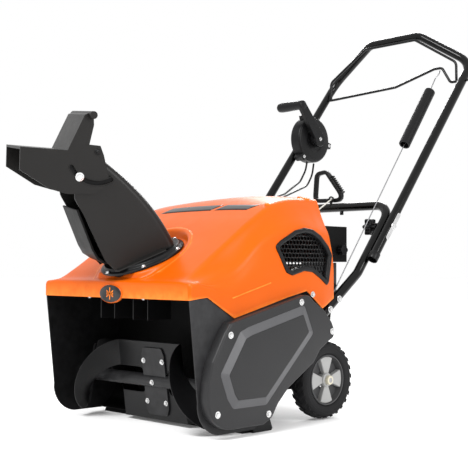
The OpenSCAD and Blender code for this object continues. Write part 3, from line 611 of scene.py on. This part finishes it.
# grilles: a proud rounded rim round a recessed honeycomb
for side, word in SIDES:
    node = word + "_grille"
    middle = grille_line(4)
    levels = [(-5, -3.0), (-5, 1.5), (-3.8, 3.2), (-1, 4.0), (3, 3.8), (5.6, 2.2), (7.5, -1.2), (7.5, -13), (2, -13)]
    verts = [(side * (hood_side_x(sy, sz) + lift), y, z) for d, lift in levels
             for (y, z), (sy, sz) in zip(grille_line(d), middle)]
    make(node + "_rim", verts, tube_faces(len(levels), len(middle), closed=True), BLACK, "chassis", [node], angle=40)
    panel = make(node + "_mesh", *prism(grille_line(7), 0, 3.4), BLACK, "chassis", angle=25)
    cells, pitch, r = [], 12.4, 6.2
    for i in range(-1, 19):
        for j in range(13):
            cy = 66 + i * pitch + (j % 2) * pitch / 2
            cz = 352 + j * pitch * 0.866
            hexagon = [(cy + r * math.cos(math.radians(60 * k + 30)), cz + r * math.sin(math.radians(60 * k + 30)))
                       for k in range(6)]
            if 60 < cy < 280:
                cells.append(prism(hexagon, -5, 9))
    cut(panel, *merged(*cells))
    for v in panel.data.vertices:
        y, z = v.co.y / MM, v.co.z / MM
        v.co.x = side * (hood_side_x(min(max(y, -200), 287), z) - 11 + v.co.x / MM) * MM
    dress(panel, BLACK, "chassis", angle=25)

# ---- lip badge and screws ------------------------------------------------------------------


BADGE_Z = 323


def oval(rx, rz, y0, y1, round_edge, n=72):
    """A flat-backed oval on the lip, with a rounded front edge."""
    rows = [(1.0, y0), (1.0, y1 + round_edge), (1 - 0.35 * round_edge / rx, y1 + round_edge * 0.35),
            (1 - round_edge / rx, y1)]
    verts = [(rx * s * math.cos(2 * math.pi * j / n), y, BADGE_Z + rz * s * math.sin(2 * math.pi * j / n))
             for s, y in rows for j in range(n)]
    return verts, tube_faces(len(rows), n)


make("badge_rim", *oval(43, 22.6, -222, -228.4, 2.4), ORANGE, "chassis", ["oval_badge"], angle=40)
make("badge_face", *oval(41.2, 20.8, -226, -229.2, 1.0), BADGE, "chassis", angle=40)
# the flake: three long bars through the middle and slanted short ones (offset, slant, half length, half width)
BARS = [(0, 0, 14.5, 1.3)] + [(end * 9, slant, 4.6, 1.0) for end in (-1, 1) for slant in (50, -50)]
flake = []
for turn in (90, 150, 210):
    for u, slant, half, w in BARS:
        ox = cos_sin(turn)[0] * u
        c, s = cos_sin(turn + slant)
        quad = ((-half, -w), (half, -w), (half, w), (-half, w))
        pts = [(ox + c * a - s * b, BADGE_Z + s * a + c * b) for a, b in quad]
        flake.append(([(x, y, z) for y in (-228.8, -230.0) for x, z in pts], tube_faces(2, 4)))
make("badge_flake", *merged(*flake), ORANGE, "chassis", angle=30)

for k, (y, z) in enumerate(((-122, 234), (117, 303), (232, 228), (2, 46), (-162, 60))):
    screw(f"cover_screw_{k}", (304, y, z), (1, 0, 0), 5.4, "chassis")
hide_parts("cover_screws")
for side, word in SIDES:
    screw("hood_screw_" + word, (side * 277.6, 188, 320), (side, 0, 0), 5.0, "chassis")
    screw("lip_screw_" + word, (side * 104, -211, 313), (0, 0, -1), 3.6, "chassis", head=2)

# ---- belt cover ----------------------------------------------------------------------------

COVER_LINE = (arc(-117, 95, 73, 268, 180, 12) + [(-188, 132), (-176, 176), (-138, 240)]
              + arc(-112, 249, 14, 150, 84, 6)
              + [(134, 320), (150, 318), (166, 304), (206, 280), (232, 252), (243, 232), (240, 212), (222, 204),
                 (188, 184), (164, 154), (130, 134), (72, 99), (36, 66), (16, 36), (-12, 22)])
PANEL_LINE = [(-154, 148), (-92, 240), (-66, 250), (127, 296), (160, 226), (-6, 68), (-114, 68), (-132, 92)]
pan = [(round_corners(inset(COVER_LINE, d), 10, 3), x)
       for d, x in ((0, 277.2), (0, 299), (0.9, 301.6), (2.6, 303.4), (5, 304))]
make("belt_cover_pan", *layers(pan), COVER, "chassis", ["belt_cover"], angle=50)
# the bevelled band gets the lighter plastic as a painted highlight where its faces tilt up to the light
for name, mat, levels in (("band", BAND_PAINTED_HIGHLIGHT, ((0, 302), (0, 304.2), (1.5, 305), (19, 311), (20, 309))),
                          ("panel", COVER, ((19.4, 308), (19.4, 311.1), (20.4, 311.8), (22, 312)))):
    rows = [(round_corners(inset(PANEL_LINE, d), 12 - 0.3 * d, 5), x) for d, x in levels]
    make("belt_cover_" + name, *layers(rows), mat, "chassis", angle=12)

# ---- auger ---------------------------------------------------------------------------------

AY, AZ, HUB_X = -95, 106, 17
CLOCK_COS, CLOCK_SIN = cos_sin(8)


def on_auger(x, y, z):
    """A point of the auger, drawn with its plates upright, where the auger stands."""
    return x, AY + y * CLOCK_COS - z * CLOCK_SIN, AZ + y * CLOCK_SIN + z * CLOCK_COS


def paddle(name, flip, node):
    """One full-width paddle: a flat middle and two ends wound round the shaft."""
    wing = []
    for i in range(49):
        t = i / 48
        blunt = max(0, (t - 0.9) / 0.1) ** 2
        wing.append((118 + 128 * t, 90 + 160 * t, 32 + 8 * blunt, 98 - 12 * blunt))
    notch = [(54, 31), (48, 27), (44, 19), (40, 18)]
    middle = [(x, 90, r, 98) for x, r in [(-110, 32), (-60, 32)] + [(HUB_X - u, r) for u, r in notch]
              + [(HUB_X + u, r) for u, r in reversed(notch)] + [(110, 32)]]
    full = [(-x, a, r0, r1) for x, a, r0, r1 in reversed(wing)] + middle + wing
    half = 2.6
    verts = []
    for x, a, r0, r1 in full:
        c, s = cos_sin(a)
        section = [(r0, -half)] + [(r0 + (r1 - r0) * k / 5, -half) for k in range(1, 5)] + [(r1, -half), (r1, half)]
        section += [(r1 - (r1 - r0) * k / 5, half) for k in range(1, 5)] + [(r0, half)]
        verts += [on_auger(x, flip * (c * r - s * w), flip * (s * r + c * w)) for r, w in section]
    make(name, verts, tube_faces(len(full), 12), PADDLE, "auger", [node], bevel=0.8, angle=40)


paddle("paddle_a", 1, "upper_paddle")
paddle("paddle_b", -1, "lower_paddle")
parts = [lathe([(10.2, -256), (16, -256), (16, 256), (10.2, 256)], (0, AY, AZ), "x", 48)]
for side in (-1, 1):
    shape = round_corners([(-42, 9), (42, 9), (42, 66), (34, 84), (-34, 84), (-42, 66)], 9, 4)
    pts = [(HUB_X + u, side * v) for u, v in shape]
    parts.append(([on_auger(x, y, z) for y in (-7, -3) for x, z in pts], tube_faces(2, len(pts))))
    for turn in (160, -20):
        c, s = cos_sin(turn)
        pts = [(u * c - v * s, u * s + v * c) for u, v in round_corners([(-9, 8), (9, 8), (9, 78), (-9, 78)], 5, 3)]
        parts.append(([on_auger(x, y, z) for x in (side * 246.2, side * 252) for y, z in pts], tube_faces(2, len(pts))))
make("auger_centre", *merged(*parts), PADDLE, "auger", ["auger_hub"], bevel=0.7, angle=35)
ahead = (0, -CLOCK_COS, -CLOCK_SIN)
for k, (x, z) in enumerate(((-35, 51), (35, 51), (-35, -51), (35, -51))):
    screw(f"paddle_screw_{k}", on_auger(HUB_X + x, -7.2, z), ahead, 4.6, "auger")
screw("shaft_screw", on_auger(HUB_X, -16, 0), ahead, 4.6, "auger")
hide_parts("paddle_bolts")

# ---- wheels --------------------------------------------------------------------------------

WY, WZ, FACE = 273, 100, 258
for side, word in SIDES:
    body = word + "_wheel"
    inner = FACE - 48

    def turned(n, back, front):
        """A solid turned round the axle: radii with how far in front of the wheel's back or behind its face."""
        profile = [(r, side * (inner + x)) for r, x in back] + [(r, side * (FACE - x)) for r, x in front]
        return lathe(profile, (0, WY, WZ), "x", n)

    tread = turned(120, [(64.5, 8), (65, 6), (69, 2), (78, 0.5), (88, 1.5), (93, 5), (95.5, 10), (96, 18)],
                   [(96, 18), (95.5, 10), (93, 5), (88, 1.5), (83, 0.2), (81.5, 1.0), (79, 0.6), (72, 1.6), (69, 2.4),
                    (65.5, 5.5), (64.5, 8)])
    lugs = []
    for k in range(26):
        for row in (0, 1):
            turn = math.radians(360 / 26 * (k + 0.5 * row))
            x0, x1 = (inner + 3, inner + 22) if row == 0 else (FACE - 22, FACE - 3)
            skew = math.radians(5 if row == 0 else -5)
            ring = []
            for lift, widen in ((93.5, 1.0), (98.2, 0.92), (99.6, 0.78)):
                for x, shift in ((x0, -1), (x1, 1)):
                    for w in (-1, 1):
                        a = turn + skew * shift + math.radians(3.4) * w * widen
                        r = lift - (4.2 if x in (inner + 3, FACE - 3) and lift > 95 else 0)
                        ring.append((side * x, WY + r * math.cos(a), WZ + r * math.sin(a)))
            v = [ring[4 * level + q] for level in range(3) for q in (0, 1, 3, 2)]
            lugs.append((v, tube_faces(3, 4)))
    make(word + "_tyre_rubber", *merged(tread, *lugs), RUBBER, body, [word + "_tyre"], angle=35)
    barrel = turned(96, [(60, 9), (64.6, 7)], [(64.6, 6), (63.4, 3.4), (60.5, 3.2), (59, 6), (57.5, 17), (56, 19),
                                               (20, 20), (20, 24), (56, 24)])
    make(word + "_rim_barrel", *barrel, RIM, body, [word + "_rim"], angle=35)
    spokes = []
    for mid in (0, 90, 180, 270):
        wide = arc(0, 0, 59, mid - 23, mid + 23, 10)
        near = arc(0, 0, 17, mid + 26, mid - 26, 6)
        shape = round_corners(wide + near, 2.5, 2)
        plate = [(WY + u, WZ + v) for u, v in shape]
        spokes.append(layers([(plate, side * (FACE - 19)), (plate, side * (FACE - 8.5)),
                              (inset(plate, 1.2), side * (FACE - 7))]))
    hub = turned(64, [(6.6, 4), (16, 4)], [(17.5, 19), (18.5, 8), (17, 4), (13, 2), (6.6, 2)])
    make(word + "_spokes", *merged(hub, *spokes), SPOKE, body, angle=25)
    cap = turned(40, [], [(6.5, 1.5), (12, 1.5), (12, -4), (10.5, -6.6), (6.5, -7.2), (5.6, -6.0), (0.01, -5.6),
                          (0.01, 1.5)])
    make(word + "_axle_cap", *cap, CREAM, "chassis", angle=35, weld=True)
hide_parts("axle_caps")

# ---- chute ---------------------------------------------------------------------------------

ring = lathe([(82, -18), (85, -18), (85, -0.5), (104.5, -0.5), (106.6, 1), (107, 3), (106.4, 5.6), (104.5, 7),
              (99, 7.6), (97.4, 9), (96.6, 12.6), (95, 14), (84, 14), (82, 12)], None, RING, 128)
make("chute_base_ring", *ring, BLACK, "turning_chute", ["chute_ring"], angle=40)
ring_up = RING.to_3x3() @ Vector((0, 0, 1))
for k, a in enumerate(range(20, 321, 60)):
    c, s = cos_sin(a)
    screw(f"ring_screw_{k}", RING @ Vector((102 * c, 102 * s, 7)), ring_up, 4.2, "turning_chute", washer=1.2)
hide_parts("chute_bolts")

FRONT_CORNERS = [(92, 14, 0), (108, 47, 0), (112, 90, 0), (118, 165, 0), (126, 215, 0), (100, 262, 0), (62, 288, 0)]
FRONT = np.array(bent(FRONT_CORNERS, 22, 5))
FRONT_RUN = np.concatenate([[0], np.cumsum(np.linalg.norm(np.diff(FRONT, axis=0), axis=1))])


def chute_front(t):
    """Front edge of the chute's side, from the ring up to the rounded ear, as (forward, height)."""
    s = t * FRONT_RUN[-1]
    return float(np.interp(s, FRONT_RUN, FRONT[:, 0])), float(np.interp(s, FRONT_RUN, FRONT[:, 1]))


def chute_back(t):
    """The back of the chute, from the ring up, as (forward, height)."""
    return -74 + 30 * t + 86 * t**2, 14 + 282 * t


# half width and corner radius, the deflector's pivot, and the slot's radius, middle angle and half length in degrees
HALF, CORNER, PF, PH, SLOT_R, SLOT_MID, SLOT_HALF = 61, 22, 37, 295, 72, -52, 44
verts, levels = [], 48
for i in range(levels + 1):
    t = i / levels
    fa, fh = chute_front(t)
    ba, bh = chute_back(t)
    d = np.array([fa - ba, fh - bh])
    length = np.linalg.norm(d)
    d = d / length
    bend = min(CORNER, length * 0.8)
    side_pts = [(fa - d[0] * (length - bend) * q, fh - d[1] * (length - bend) * q, HALF)
                for q in (k / 8 for k in range(9))]
    for k in range(1, 11):
        turn = math.pi / 2 * k / 10
        off = bend * (1 - math.sin(turn))
        side_pts.append((ba + d[0] * off, bh + d[1] * off, HALF - CORNER * (1 - math.cos(turn))))
    last = side_pts[-1][2]
    middle = [(ba, bh, last * (1 - k / 4)) for k in range(1, 5)]
    half = side_pts + middle
    full = half + [(a, h, -b) for a, h, b in reversed(half[:-1])]
    verts += [(a, b, h) for a, h, b in full]


def on_both_sides(depths, line):
    """A plate on each side of the chute: a (forward, height) outline between two distances off the middle."""
    return merged(*[([(a, side * b, h) for b in depths for a, h in line], tube_faces(2, len(line)))
                    for side in (-1, 1)])


make("chute_shell", verts, grid_faces(levels + 1, len(full)), CHUTE, "turning_chute", ["chute"], solid=3.2, bevel=1.2,
     angle=50, place=chute_point)
ears = on_both_sides((57.8, 61), arc(PF, PH, 11, 40, 220, 14) + arc(60, 270, 11, 220, 400, 14))
make("chute_ears", *ears, CHUTE, "turning_chute", bevel=0.8, angle=30, place=chute_point)
foot = []
for side in (-1, 1):
    low = [(94, side * 58, 13), (-40, side * 62, 13), (-40, side * 74, 13), (88, side * 73, 13)]
    top = [(94, side * 58, 18), (-40, side * 62, 20), (-40, side * 72, 15.5), (88, side * 71, 15.5)]
    foot.append((low + top, tube_faces(2, 4)))
make("chute_foot", *merged(*foot), CHUTE, "turning_chute", bevel=1.0, angle=30, place=chute_point)
refine("chute_apron", DARK_STEEL_PAINTED_SHADE, bevel=1.6, segments=3, angle=45)
refine("deflector", CHUTE, bevel=1.3, segments=3, angle=40)
LOW_END, HIGH_END = SLOT_MID - SLOT_HALF, SLOT_MID + SLOT_HALF
# painted shade: a near-black sheet behind the deflector's slots, where there is only shade
slot_shade_sheet = on_both_sides((61.2, 61.9), arc(PF, PH, SLOT_R + 9, LOW_END - 4, HIGH_END + 4, 24)
                      + arc(PF, PH, SLOT_R - 9, HIGH_END + 4, LOW_END - 4, 24))
make("slot_painted_shade", *slot_shade_sheet, DARK_STEEL_PAINTED_SHADE, "chute_deflector", place=chute_point)


def around_slot(d):
    """The closed line that keeps a distance d from the slot's middle line."""
    (c0, s0), (c1, s1) = cos_sin(LOW_END), cos_sin(HIGH_END)
    return (arc(PF, PH, SLOT_R + d, LOW_END, HIGH_END, 24)
            + arc(PF + SLOT_R * c1, PH + SLOT_R * s1, d, HIGH_END, HIGH_END + 180, 8)
            + arc(PF, PH, SLOT_R - d, HIGH_END, LOW_END, 24)
            + arc(PF + SLOT_R * c0, PH + SLOT_R * s0, d, LOW_END + 180, LOW_END + 360, 8))


RIM_ROWS = [(around_slot(d), b) for d, b in ((7.4, 65.6), (7.0, 67.2), (5.4, 67.2), (5.0, 64))]
rims = [([(a, side * b, h) for row, b in RIM_ROWS for a, h in row], tube_faces(4, len(RIM_ROWS[0][0]), closed=True))
        for side in (-1, 1)]
make("slot_rims", *merged(*rims), CHUTE, "chute_deflector", angle=30, place=chute_point)
for side, word in SIDES:
    out = CHUTE_FRAME.to_3x3() @ Vector((side, 0, 0))
    screw("pivot_screw_" + word, chute_point((PF, side * 66.4, PH)), out, 5, "turning_chute", BLACK, washer=2)
    c, s = cos_sin(SLOT_MID + 20)
    spot = (PF + SLOT_R * c, side * 66.4, PH + SLOT_R * s)
    screw("slot_screw_" + word, chute_point(spot), out, 7, "turning_chute", washer=2, head=3, sides=20)

# ---- handles -------------------------------------------------------------------------------


SLOPE, FOLD_Y, FOLD_Z, UPPER_X, LOWER_X = 50.75, 517, 499.5, 266.8, 240.2
TUBE_R, GUIDE_Z = 12.7, 562


def on_slope(z):
    """How far back the handle's tubes are at that height."""
    return FOLD_Y + (z - FOLD_Z) / math.tan(math.radians(SLOPE))


def mirrored(points):
    """Path over the left side to the right one, from its right half."""
    return [(-x, y, z) for x, y, z in points] + [tuple(p) for p in reversed(points)]


upper = [(UPPER_X, on_slope(418), 418), (UPPER_X, on_slope(1009.5), 1009.5), (95.7, on_slope(1009.5) - 26, 1116)]
lower = [(LOWER_X, 262, 261.5), (LOWER_X, on_slope(372), 372), (LOWER_X, on_slope(GUIDE_Z), GUIDE_Z)]
for name, path, radius, body in (("upper_handle", upper, 62, "folding_handle"), ("lower_handle", lower, 58, "chassis")):
    make(name + "_tube", *sweep(bent(mirrored(path), radius, 12), circle(TUBE_R, 32)), TUBE, body, [name], angle=50)
lobes = []
for k in range(96):
    t = 2 * math.pi * k / 96
    r = 20.5 + 4.6 * math.cos(6 * t)
    lobes.append((r * math.cos(t), r * math.sin(t)))
# (scale, distance outwards) rows of a star knob, from its domed face to the end of its neck
KNOB_ROWS = [(0.80, 0), (0.97, 1.2), (1.0, 3.5), (1.0, 15), (0.95, 18.2), (0.7, 20), (0.5, 20.2), (0.47, 32.5),
             (0.42, 33.6)]
slope_axis, across = Vector((0, *cos_sin(SLOPE))), Vector((1, 0, 0))
for side, word in SIDES:
    m = axes(across, slope_axis, (side * UPPER_X, on_slope(418), 418))
    collar = lathe([(TUBE_R, -13), (14.2, -13), (14.8, -12), (14.8, 9), (14.2, 10), (TUBE_R, 10)], None, m, 40)
    make("handle_collar_" + word, *collar, BLACK, "folding_handle", angle=40)
    clip = axes(across, slope_axis, (side * 281.6, FOLD_Y, FOLD_Z))
    shape = round_corners([(-6, -46), (6, -46), (6, 46), (-6, 46)], 5.5, 4)
    verts = [tuple(clip @ Vector((w, u, v))) for w in (-1.2, 1.2) for u, v in shape]
    make("handle_clip_" + word, verts, tube_faces(2, len(shape)), ZINC, "folding_handle", bevel=0.6, angle=50)
    screw("handle_bolt_" + word, (side * 282.6, FOLD_Y, FOLD_Z), (side, 0, 0), 6.5, "folding_handle", head=4,
          sides=24)
    knob = layers([([(FOLD_Y + u * s, FOLD_Z + v * s) for u, v in lobes], side * (193.2 + h)) for s, h in KNOB_ROWS])
    make(word + "_star_knob_body", *knob, BLACK, word + "_star_knob", [word + "_knob"], angle=50)
    for k, (y, z) in enumerate(((286, 279.5), (322, 305.5))):
        screw(f"foot_bolt_{word}_{k}", (side * 252.9, y, z), (side, 0, 0), 6, "chassis", head=4)
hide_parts("handle_bolts")
ROPE_X, EYE_Y = 20, on_slope(GUIDE_Z)
eye = lathe([(8 + u, v) for u, v in circle(2.4, 12)], (ROPE_X, EYE_Y, 586.7), "y", 40)
stem = sweep([(ROPE_X, EYE_Y, 573), (ROPE_X, EYE_Y, 579.5)], circle(4, 16))
knob = lathe([(0.01, -22), (4.4, -22), (5.4, -20.5), (5.4, -14), (4.4, -12), (0.01, -12)],
             (60, EYE_Y, GUIDE_Z), "z", 24)
make("rope_guide", *merged(eye, stem, knob), TUBE, "chassis", angle=40, weld=True)

# ---- bail ----------------------------------------------------------------------------------

BY, BZ = 886, 951
loop = [(-245, BY, BZ), (-245, BY - 1, BZ + 57), (-97, BY - 3, BZ + 148), (97, BY - 3, BZ + 148),
        (245, BY - 1, BZ + 57), (245, BY, BZ)]
link = [(x, BY, BZ + z) for x, z in ((-285, -1.5), (-233, -1.5), (20, 9), (166, 47), (194, 47), (224, -1.5),
                                     (285, -1.5))]
wire = merged(sweep(bent(loop, 22, 8), circle(4, 16)), sweep(bent(link, 14, 6), circle(4, 16)))
make("bail_wire", *wire, WIRE, "bail_loop", ["bail"], angle=50)

# ---- clutch cable and its sleeve -----------------------------------------------------------

# the straight run from the bail's hump down to where the cable turns in behind the belt cover
HUMP, LOW = np.array([190, BY, BZ + 46.0]), np.array([226, 336, 328.0])
COIL_TURNS, COIL_STEPS, COIL_R, CABLE_R = 16, 14, 5, 1.6


def along(t):
    """The point at that share of the straight run."""
    return HUMP + (LOW - HUMP) * t


length = float(np.linalg.norm(LOW - HUMP))
z = Vector((LOW - HUMP) / length)
x = z.orthogonal().normalized()
y = z.cross(x)
long = length * 0.26
sleeve = lathe([(12, 0), (15.6, 0), (16.5, 1), (16.5, long - 1), (15.6, long), (12, long)], None,
               axes(x, z, along(0.12)), 40)
make("cable_sleeve_tube", *sleeve, BLACK, "folding_handle", ["cable_sleeve"], angle=40)
coil, points = [], COIL_TURNS * COIL_STEPS
for i in range(points + 1):
    turn = 2 * math.pi * i / COIL_STEPS
    coil.append(along(0.125 + 0.17 * i / points) + np.array(x) * COIL_R * math.cos(turn)
                + np.array(y) * COIL_R * math.sin(turn))
hook = bent([HUMP + (0, -5, -8), along(0.03) + (3, 0, 0), along(0.05) + (-3, 0, 0), along(0.125)], 3, 4)
low_run = bent([LOW, (246, 238, 272), (281, 166, 266), (290, 146, 292), (297, 82, 291)], 16, 6)
run_points = [along(t) for t in np.linspace(0.29, 1, 30)] + low_run[1:]
wire = merged(sweep(coil, circle(0.9, 8)), sweep(hook, circle(CABLE_R, 12)), sweep(run_points, circle(CABLE_R, 12)))
cable = make("clutch_cable_wire", *wire, BARE, "folding_handle", angle=50)
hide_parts("clutch_cable")
cable.parent = None
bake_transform(cable)

# ---- chute crank ---------------------------------------------------------------------------

CY, CZ = 765, 803
inner_x = UPPER_X - TUBE_R


def crank_x(profile):
    """Profile of (radius, distance inboard of the left tube) points, turned round the crank's axle."""
    return lathe([(r, -(inner_x - h)) for r, h in profile], (0, CY, CZ), "x", 72)


drum = crank_x([(0.01, 0.5), (70, 0.5), (74, 3), (74, 33), (71.5, 38), (66, 41), (40, 42), (36, 39), (14, 39),
                (12.2, 36), (12.2, 20), (0.01, 20)])
lugs, turns = [], [cos_sin(a) for a in (20, 140, 260)]
for c, s in turns:
    pts = [(CY + u * c - v * s, CZ + u * s + v * c) for u, v in ((-11, 66), (11, 66), (9, 86), (-9, 86))]
    lugs.append(prism(pts, -(inner_x - 38), -(inner_x - 5)))
make("crank_drum", *merged(drum, *lugs), BLACK, "folding_handle", ["crank_housing"], bevel=1.2, angle=35, weld=True)
for k, (c, s) in enumerate(turns):
    screw(f"crank_screw_{k}", (-(inner_x - 38.4), CY - 76 * s, CZ + 76 * c), (1, 0, 0), 3.6, "folding_handle", washer=1)
face_x = inner_x - 42
TIP = (-84, 102)
hub = crank_x([(0.01, 41), (12, 41), (12, 43), (24, 43), (25, 45), (25, 62), (23, 65.5), (15, 66), (14, 64), (7, 64),
               (6, 65.6), (0.01, 65.6)])
lean = math.degrees(math.atan2(TIP[1], TIP[0]))
outline = arc(CY, CZ, 20, lean + 90, lean + 270, 14) + arc(CY + TIP[0], CZ + TIP[1], 14, lean - 90, lean + 90, 14)
arm = prism(outline, -(face_x - 10), -(face_x - 24))
grip_profile = [(0.01, 26), (10, 26), (14, 24), (15.2, 20), (15.2, 10), (14.2, 4), (14.6, -20), (15.6, -45),
                (15.6, -66), (14, -78), (9, -83.4), (0.01, -84)]
grip = lathe([(r, -(face_x - h)) for r, h in grip_profile], (0, CY + TIP[0], CZ + TIP[1]), "x", 48)
make("crank_handle", *merged(hub, arm, grip), BLACK, "chute_crank", ["crank_arm"], bevel=1.5, angle=35, weld=True)
screw("crank_centre_screw", (-(face_x - 23.4), CY, CZ), (1, 0, 0), 4, "chute_crank", washer=1)

cables = []
for k in (0, 1):
    x0, y0 = -224 - 14 * k, 739 + 49 * k
    route = [(x0, y0, 729 - k), (x0 + 6, y0 - 14, 700 - 10 * k), (x0 + 24, y0 - 60, 660 - 10 * k),
             (-158 - 8 * k, 560, 612 - 10 * k), (-100 - 10 * k, 430, 586 - 12 * k), (-60 - 10 * k, 340, 560 - 12 * k),
             (-40 - 12 * k, 240, 520 - 10 * k), (-30 - 20 * k, 60, 478), (-24 - 24 * k, 4, 450)]
    cables.append(sweep(bent(route, 90, 6), circle(3, 14)))
cable = make("chute_cable_pair", *merged(*cables), WIRE, "folding_handle", angle=50)
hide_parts("chute_cables")
cable.parent = None
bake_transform(cable)

# ---- starter -------------------------------------------------------------------------------

SY, SZ = EYE_Y + 11, 597
GRIP_CORNERS = [(-46, -7), (-40, 66), (-8, 70), (56, -9)]
section = round_corners([(-7, -6), (7, -6), (7, 6), (-7, 6)], 3.5, 3)
loop = np.array([(u, SY, SZ + v) for u, v in round_corners(GRIP_CORNERS, 13, 6)])
rings, k = [], len(loop)
for i in range(k):
    a, b = loop[(i - 1) % k], loop[(i + 1) % k]
    d = (b - a) / np.linalg.norm(b - a)
    out = np.array([d[2], 0, -d[0]])
    rings += [tuple(loop[i] + np.array([0, 1, 0]) * s + out * (t - 4)) for s, t in section]
parts = [(rings, tube_faces(k, len(section), closed=True)),
         lathe([(0.01, -18), (6, -18), (6, -9), (4.5, -6), (0.01, -6)], (ROPE_X, SY, SZ), "z", 28)]
# finger ribs along the grip's long slanted side
a, b = (np.array([u, 0, v], float) for u, v in (GRIP_CORNERS[3], GRIP_CORNERS[2]))
d = (b - a) / np.linalg.norm(b - a)
out = np.array([d[2], 0, -d[0]])
for i in range(9):
    c = a + (b - a) * (0.16 + 0.075 * i) + (0, SY, SZ)
    parts.append(([c + d * u + out * v + (0, w, 0) for w in (-7.4, 7.4)
                   for u, v in ((-2.0, 2), (2.0, 2), (1.2, 15.0), (-1.2, 15.0))], tube_faces(2, 4)))
make("starter_grip", *merged(*parts), BLACK, "pull_handle", ["starter_handle"], angle=45, weld=True)

# the rope: fixed from the recoil housing to its guide, drawn out between the guide and the handle
path = [(ROPE_X, SY, 594), (ROPE_X, EYE_Y, 586)] + bent([(ROPE_X, EYE_Y - 3, 585), (ROPE_X, EYE_Y - 9, 582),
                                                         (-96, 236, 330), (-122, 196, 312)], 12, 5)
rope = make("starter_rope_line", *sweep(path, circle(2, 14)), ROPE, "pull_handle", angle=50)
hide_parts("starter_rope")
rope.parent = None
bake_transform(rope)

# ---- the rest: clean copies of the CAD nodes -------------------------------------------------

REST = [
    ("auger_housing", DARK_STEEL_PAINTED_SHADE, 0.8), ("left_side_plate", STEEL, 0.7), ("right_side_plate", STEEL, 0.7),
    ("scraper_bar", DARK_STEEL_PAINTED_SHADE, 0.8), ("discharge_duct", BLACK, 0.5), ("skid_shoes", BLACK, 1.5),
    ("engine_frame", DARK_STEEL_PAINTED_SHADE, 0.6), ("axle", BARE, 0.5), ("auger_shaft", BARE, 0.6),
    ("auger_bearings", BARE, 0.8), ("auger_pulley", BARE, 0.5), ("engine_pulley", BARE, 0.5),
    ("drive_belt", BELT, 0.8), ("idler_pulley", BLACK, 0.8), ("idler_arm", BARE, 0.5), ("idler_spring", BARE, 0.4),
    ("engine_block", CAST, 2.0), ("crankshaft", BARE, 0.5), ("recoil_housing", BLACK, 2.5), ("muffler", HOT, 2.0),
    ("muffler_guard", STEEL, 0.3), ("fuel_tank", BLACK, 6.0), ("fuel_cap", BLACK, 1.5), ("control_box", DARK_STEEL_PAINTED_SHADE, 3.0),
    ("choke_knob", BLACK, 1.2), ("primer_bulb", RED, 0.8), ("start_key", RED, 1.2),
]
for node, mat, bevel in REST:
    refine(node, mat, bevel=bevel, segments=3 if bevel > 1.4 else 2)

# painted shade: a near-black sheet inside each of the auger housing's side plates, where shade falls
line = [(-222, 312), (-196.5, 86)] + arc(-124, 82, 73, 186, 262, 10) + [(-20, 10), (10, 36), (12, 312)]
for side, word in SIDES:
    make("housing_painted_shade_" + word, *prism(line, side * 273.2, side * 273.9), DARK_STEEL_PAINTED_SHADE, "chassis")

# ---- stage, light and camera ---------------------------------------------------------------

floor_mesh = bpy.data.meshes.new("floor")
floor_mesh.from_pydata([(-30, -30, 0), (30, -30, 0), (30, 30, 0), (-30, 30, 0)], [], [(0, 1, 2, 3)])
floor = linked("floor", floor_mesh)
floor_paint = bpy.data.materials.new("floor_paint")
floor_paint.use_nodes = True
for socket, value in (("Base Color", (0.92, 0.92, 0.92, 1)), ("Emission Color", (1, 1, 1, 1)),
                      ("Emission Strength", 0.09), ("Roughness", 0.75), ("Specular IOR Level", 0.15)):
    floor_paint.node_tree.nodes["Principled BSDF"].inputs[socket].default_value = value
floor_mesh.materials.append(floor_paint)

world = bpy.data.worlds.new("studio")
world.use_nodes = True
world.node_tree.nodes["Background"].inputs["Color"].default_value = (1, 1, 1, 1)
world.node_tree.nodes["Background"].inputs["Strength"].default_value = 1.0
bpy.context.scene.world = world
bpy.context.scene.view_settings.view_transform = "Standard"


def softbox(name, at, target, width, height, watts):
    """A rectangular light aimed at a target, in metres."""
    light = bpy.data.lights.new(name, "AREA")
    light.shape = "RECTANGLE"
    light.size, light.size_y, light.energy = width, height, watts
    o = linked(name, light)
    o.location = at
    o.rotation_euler = (Vector(target) - Vector(at)).to_track_quat("-Z", "Y").to_euler()


softbox("key", (0.4, -2.2, 3.0), (0, 0, 0.3), 1.6, 1.0, 120)
softbox("side", (3.2, 0.6, 1.6), (0, 0.2, 0.4), 1.0, 1.6, 55)
softbox("back", (-1.6, 2.8, 2.4), (0, 0.2, 0.5), 1.6, 1.0, 60)

FOCAL_PIXELS, IMAGE_PIXELS, SENSOR_MM = 996.9, 468, 36
azimuth, elevation, roll = (math.radians(v) for v in (45.463, -1.856, 0.179))
back = Vector((math.sin(azimuth) * math.cos(elevation), -math.cos(azimuth) * math.cos(elevation),
               math.sin(elevation)))
right = Vector((math.cos(azimuth), math.sin(azimuth), 0))
up = back.cross(right)
lens = bpy.data.cameras.new("camera")
lens.sensor_width = SENSOR_MM
lens.lens = FOCAL_PIXELS / IMAGE_PIXELS * SENSOR_MM
lens.shift_x, lens.shift_y = 0.0021, 0.0028
lens.clip_end = 100
camera = linked("camera", lens)
camera.matrix_world = axes(right * math.cos(roll) + up * math.sin(roll), back, (1.9063, -1.6928, 0.3859))
bpy.context.scene.camera = camera
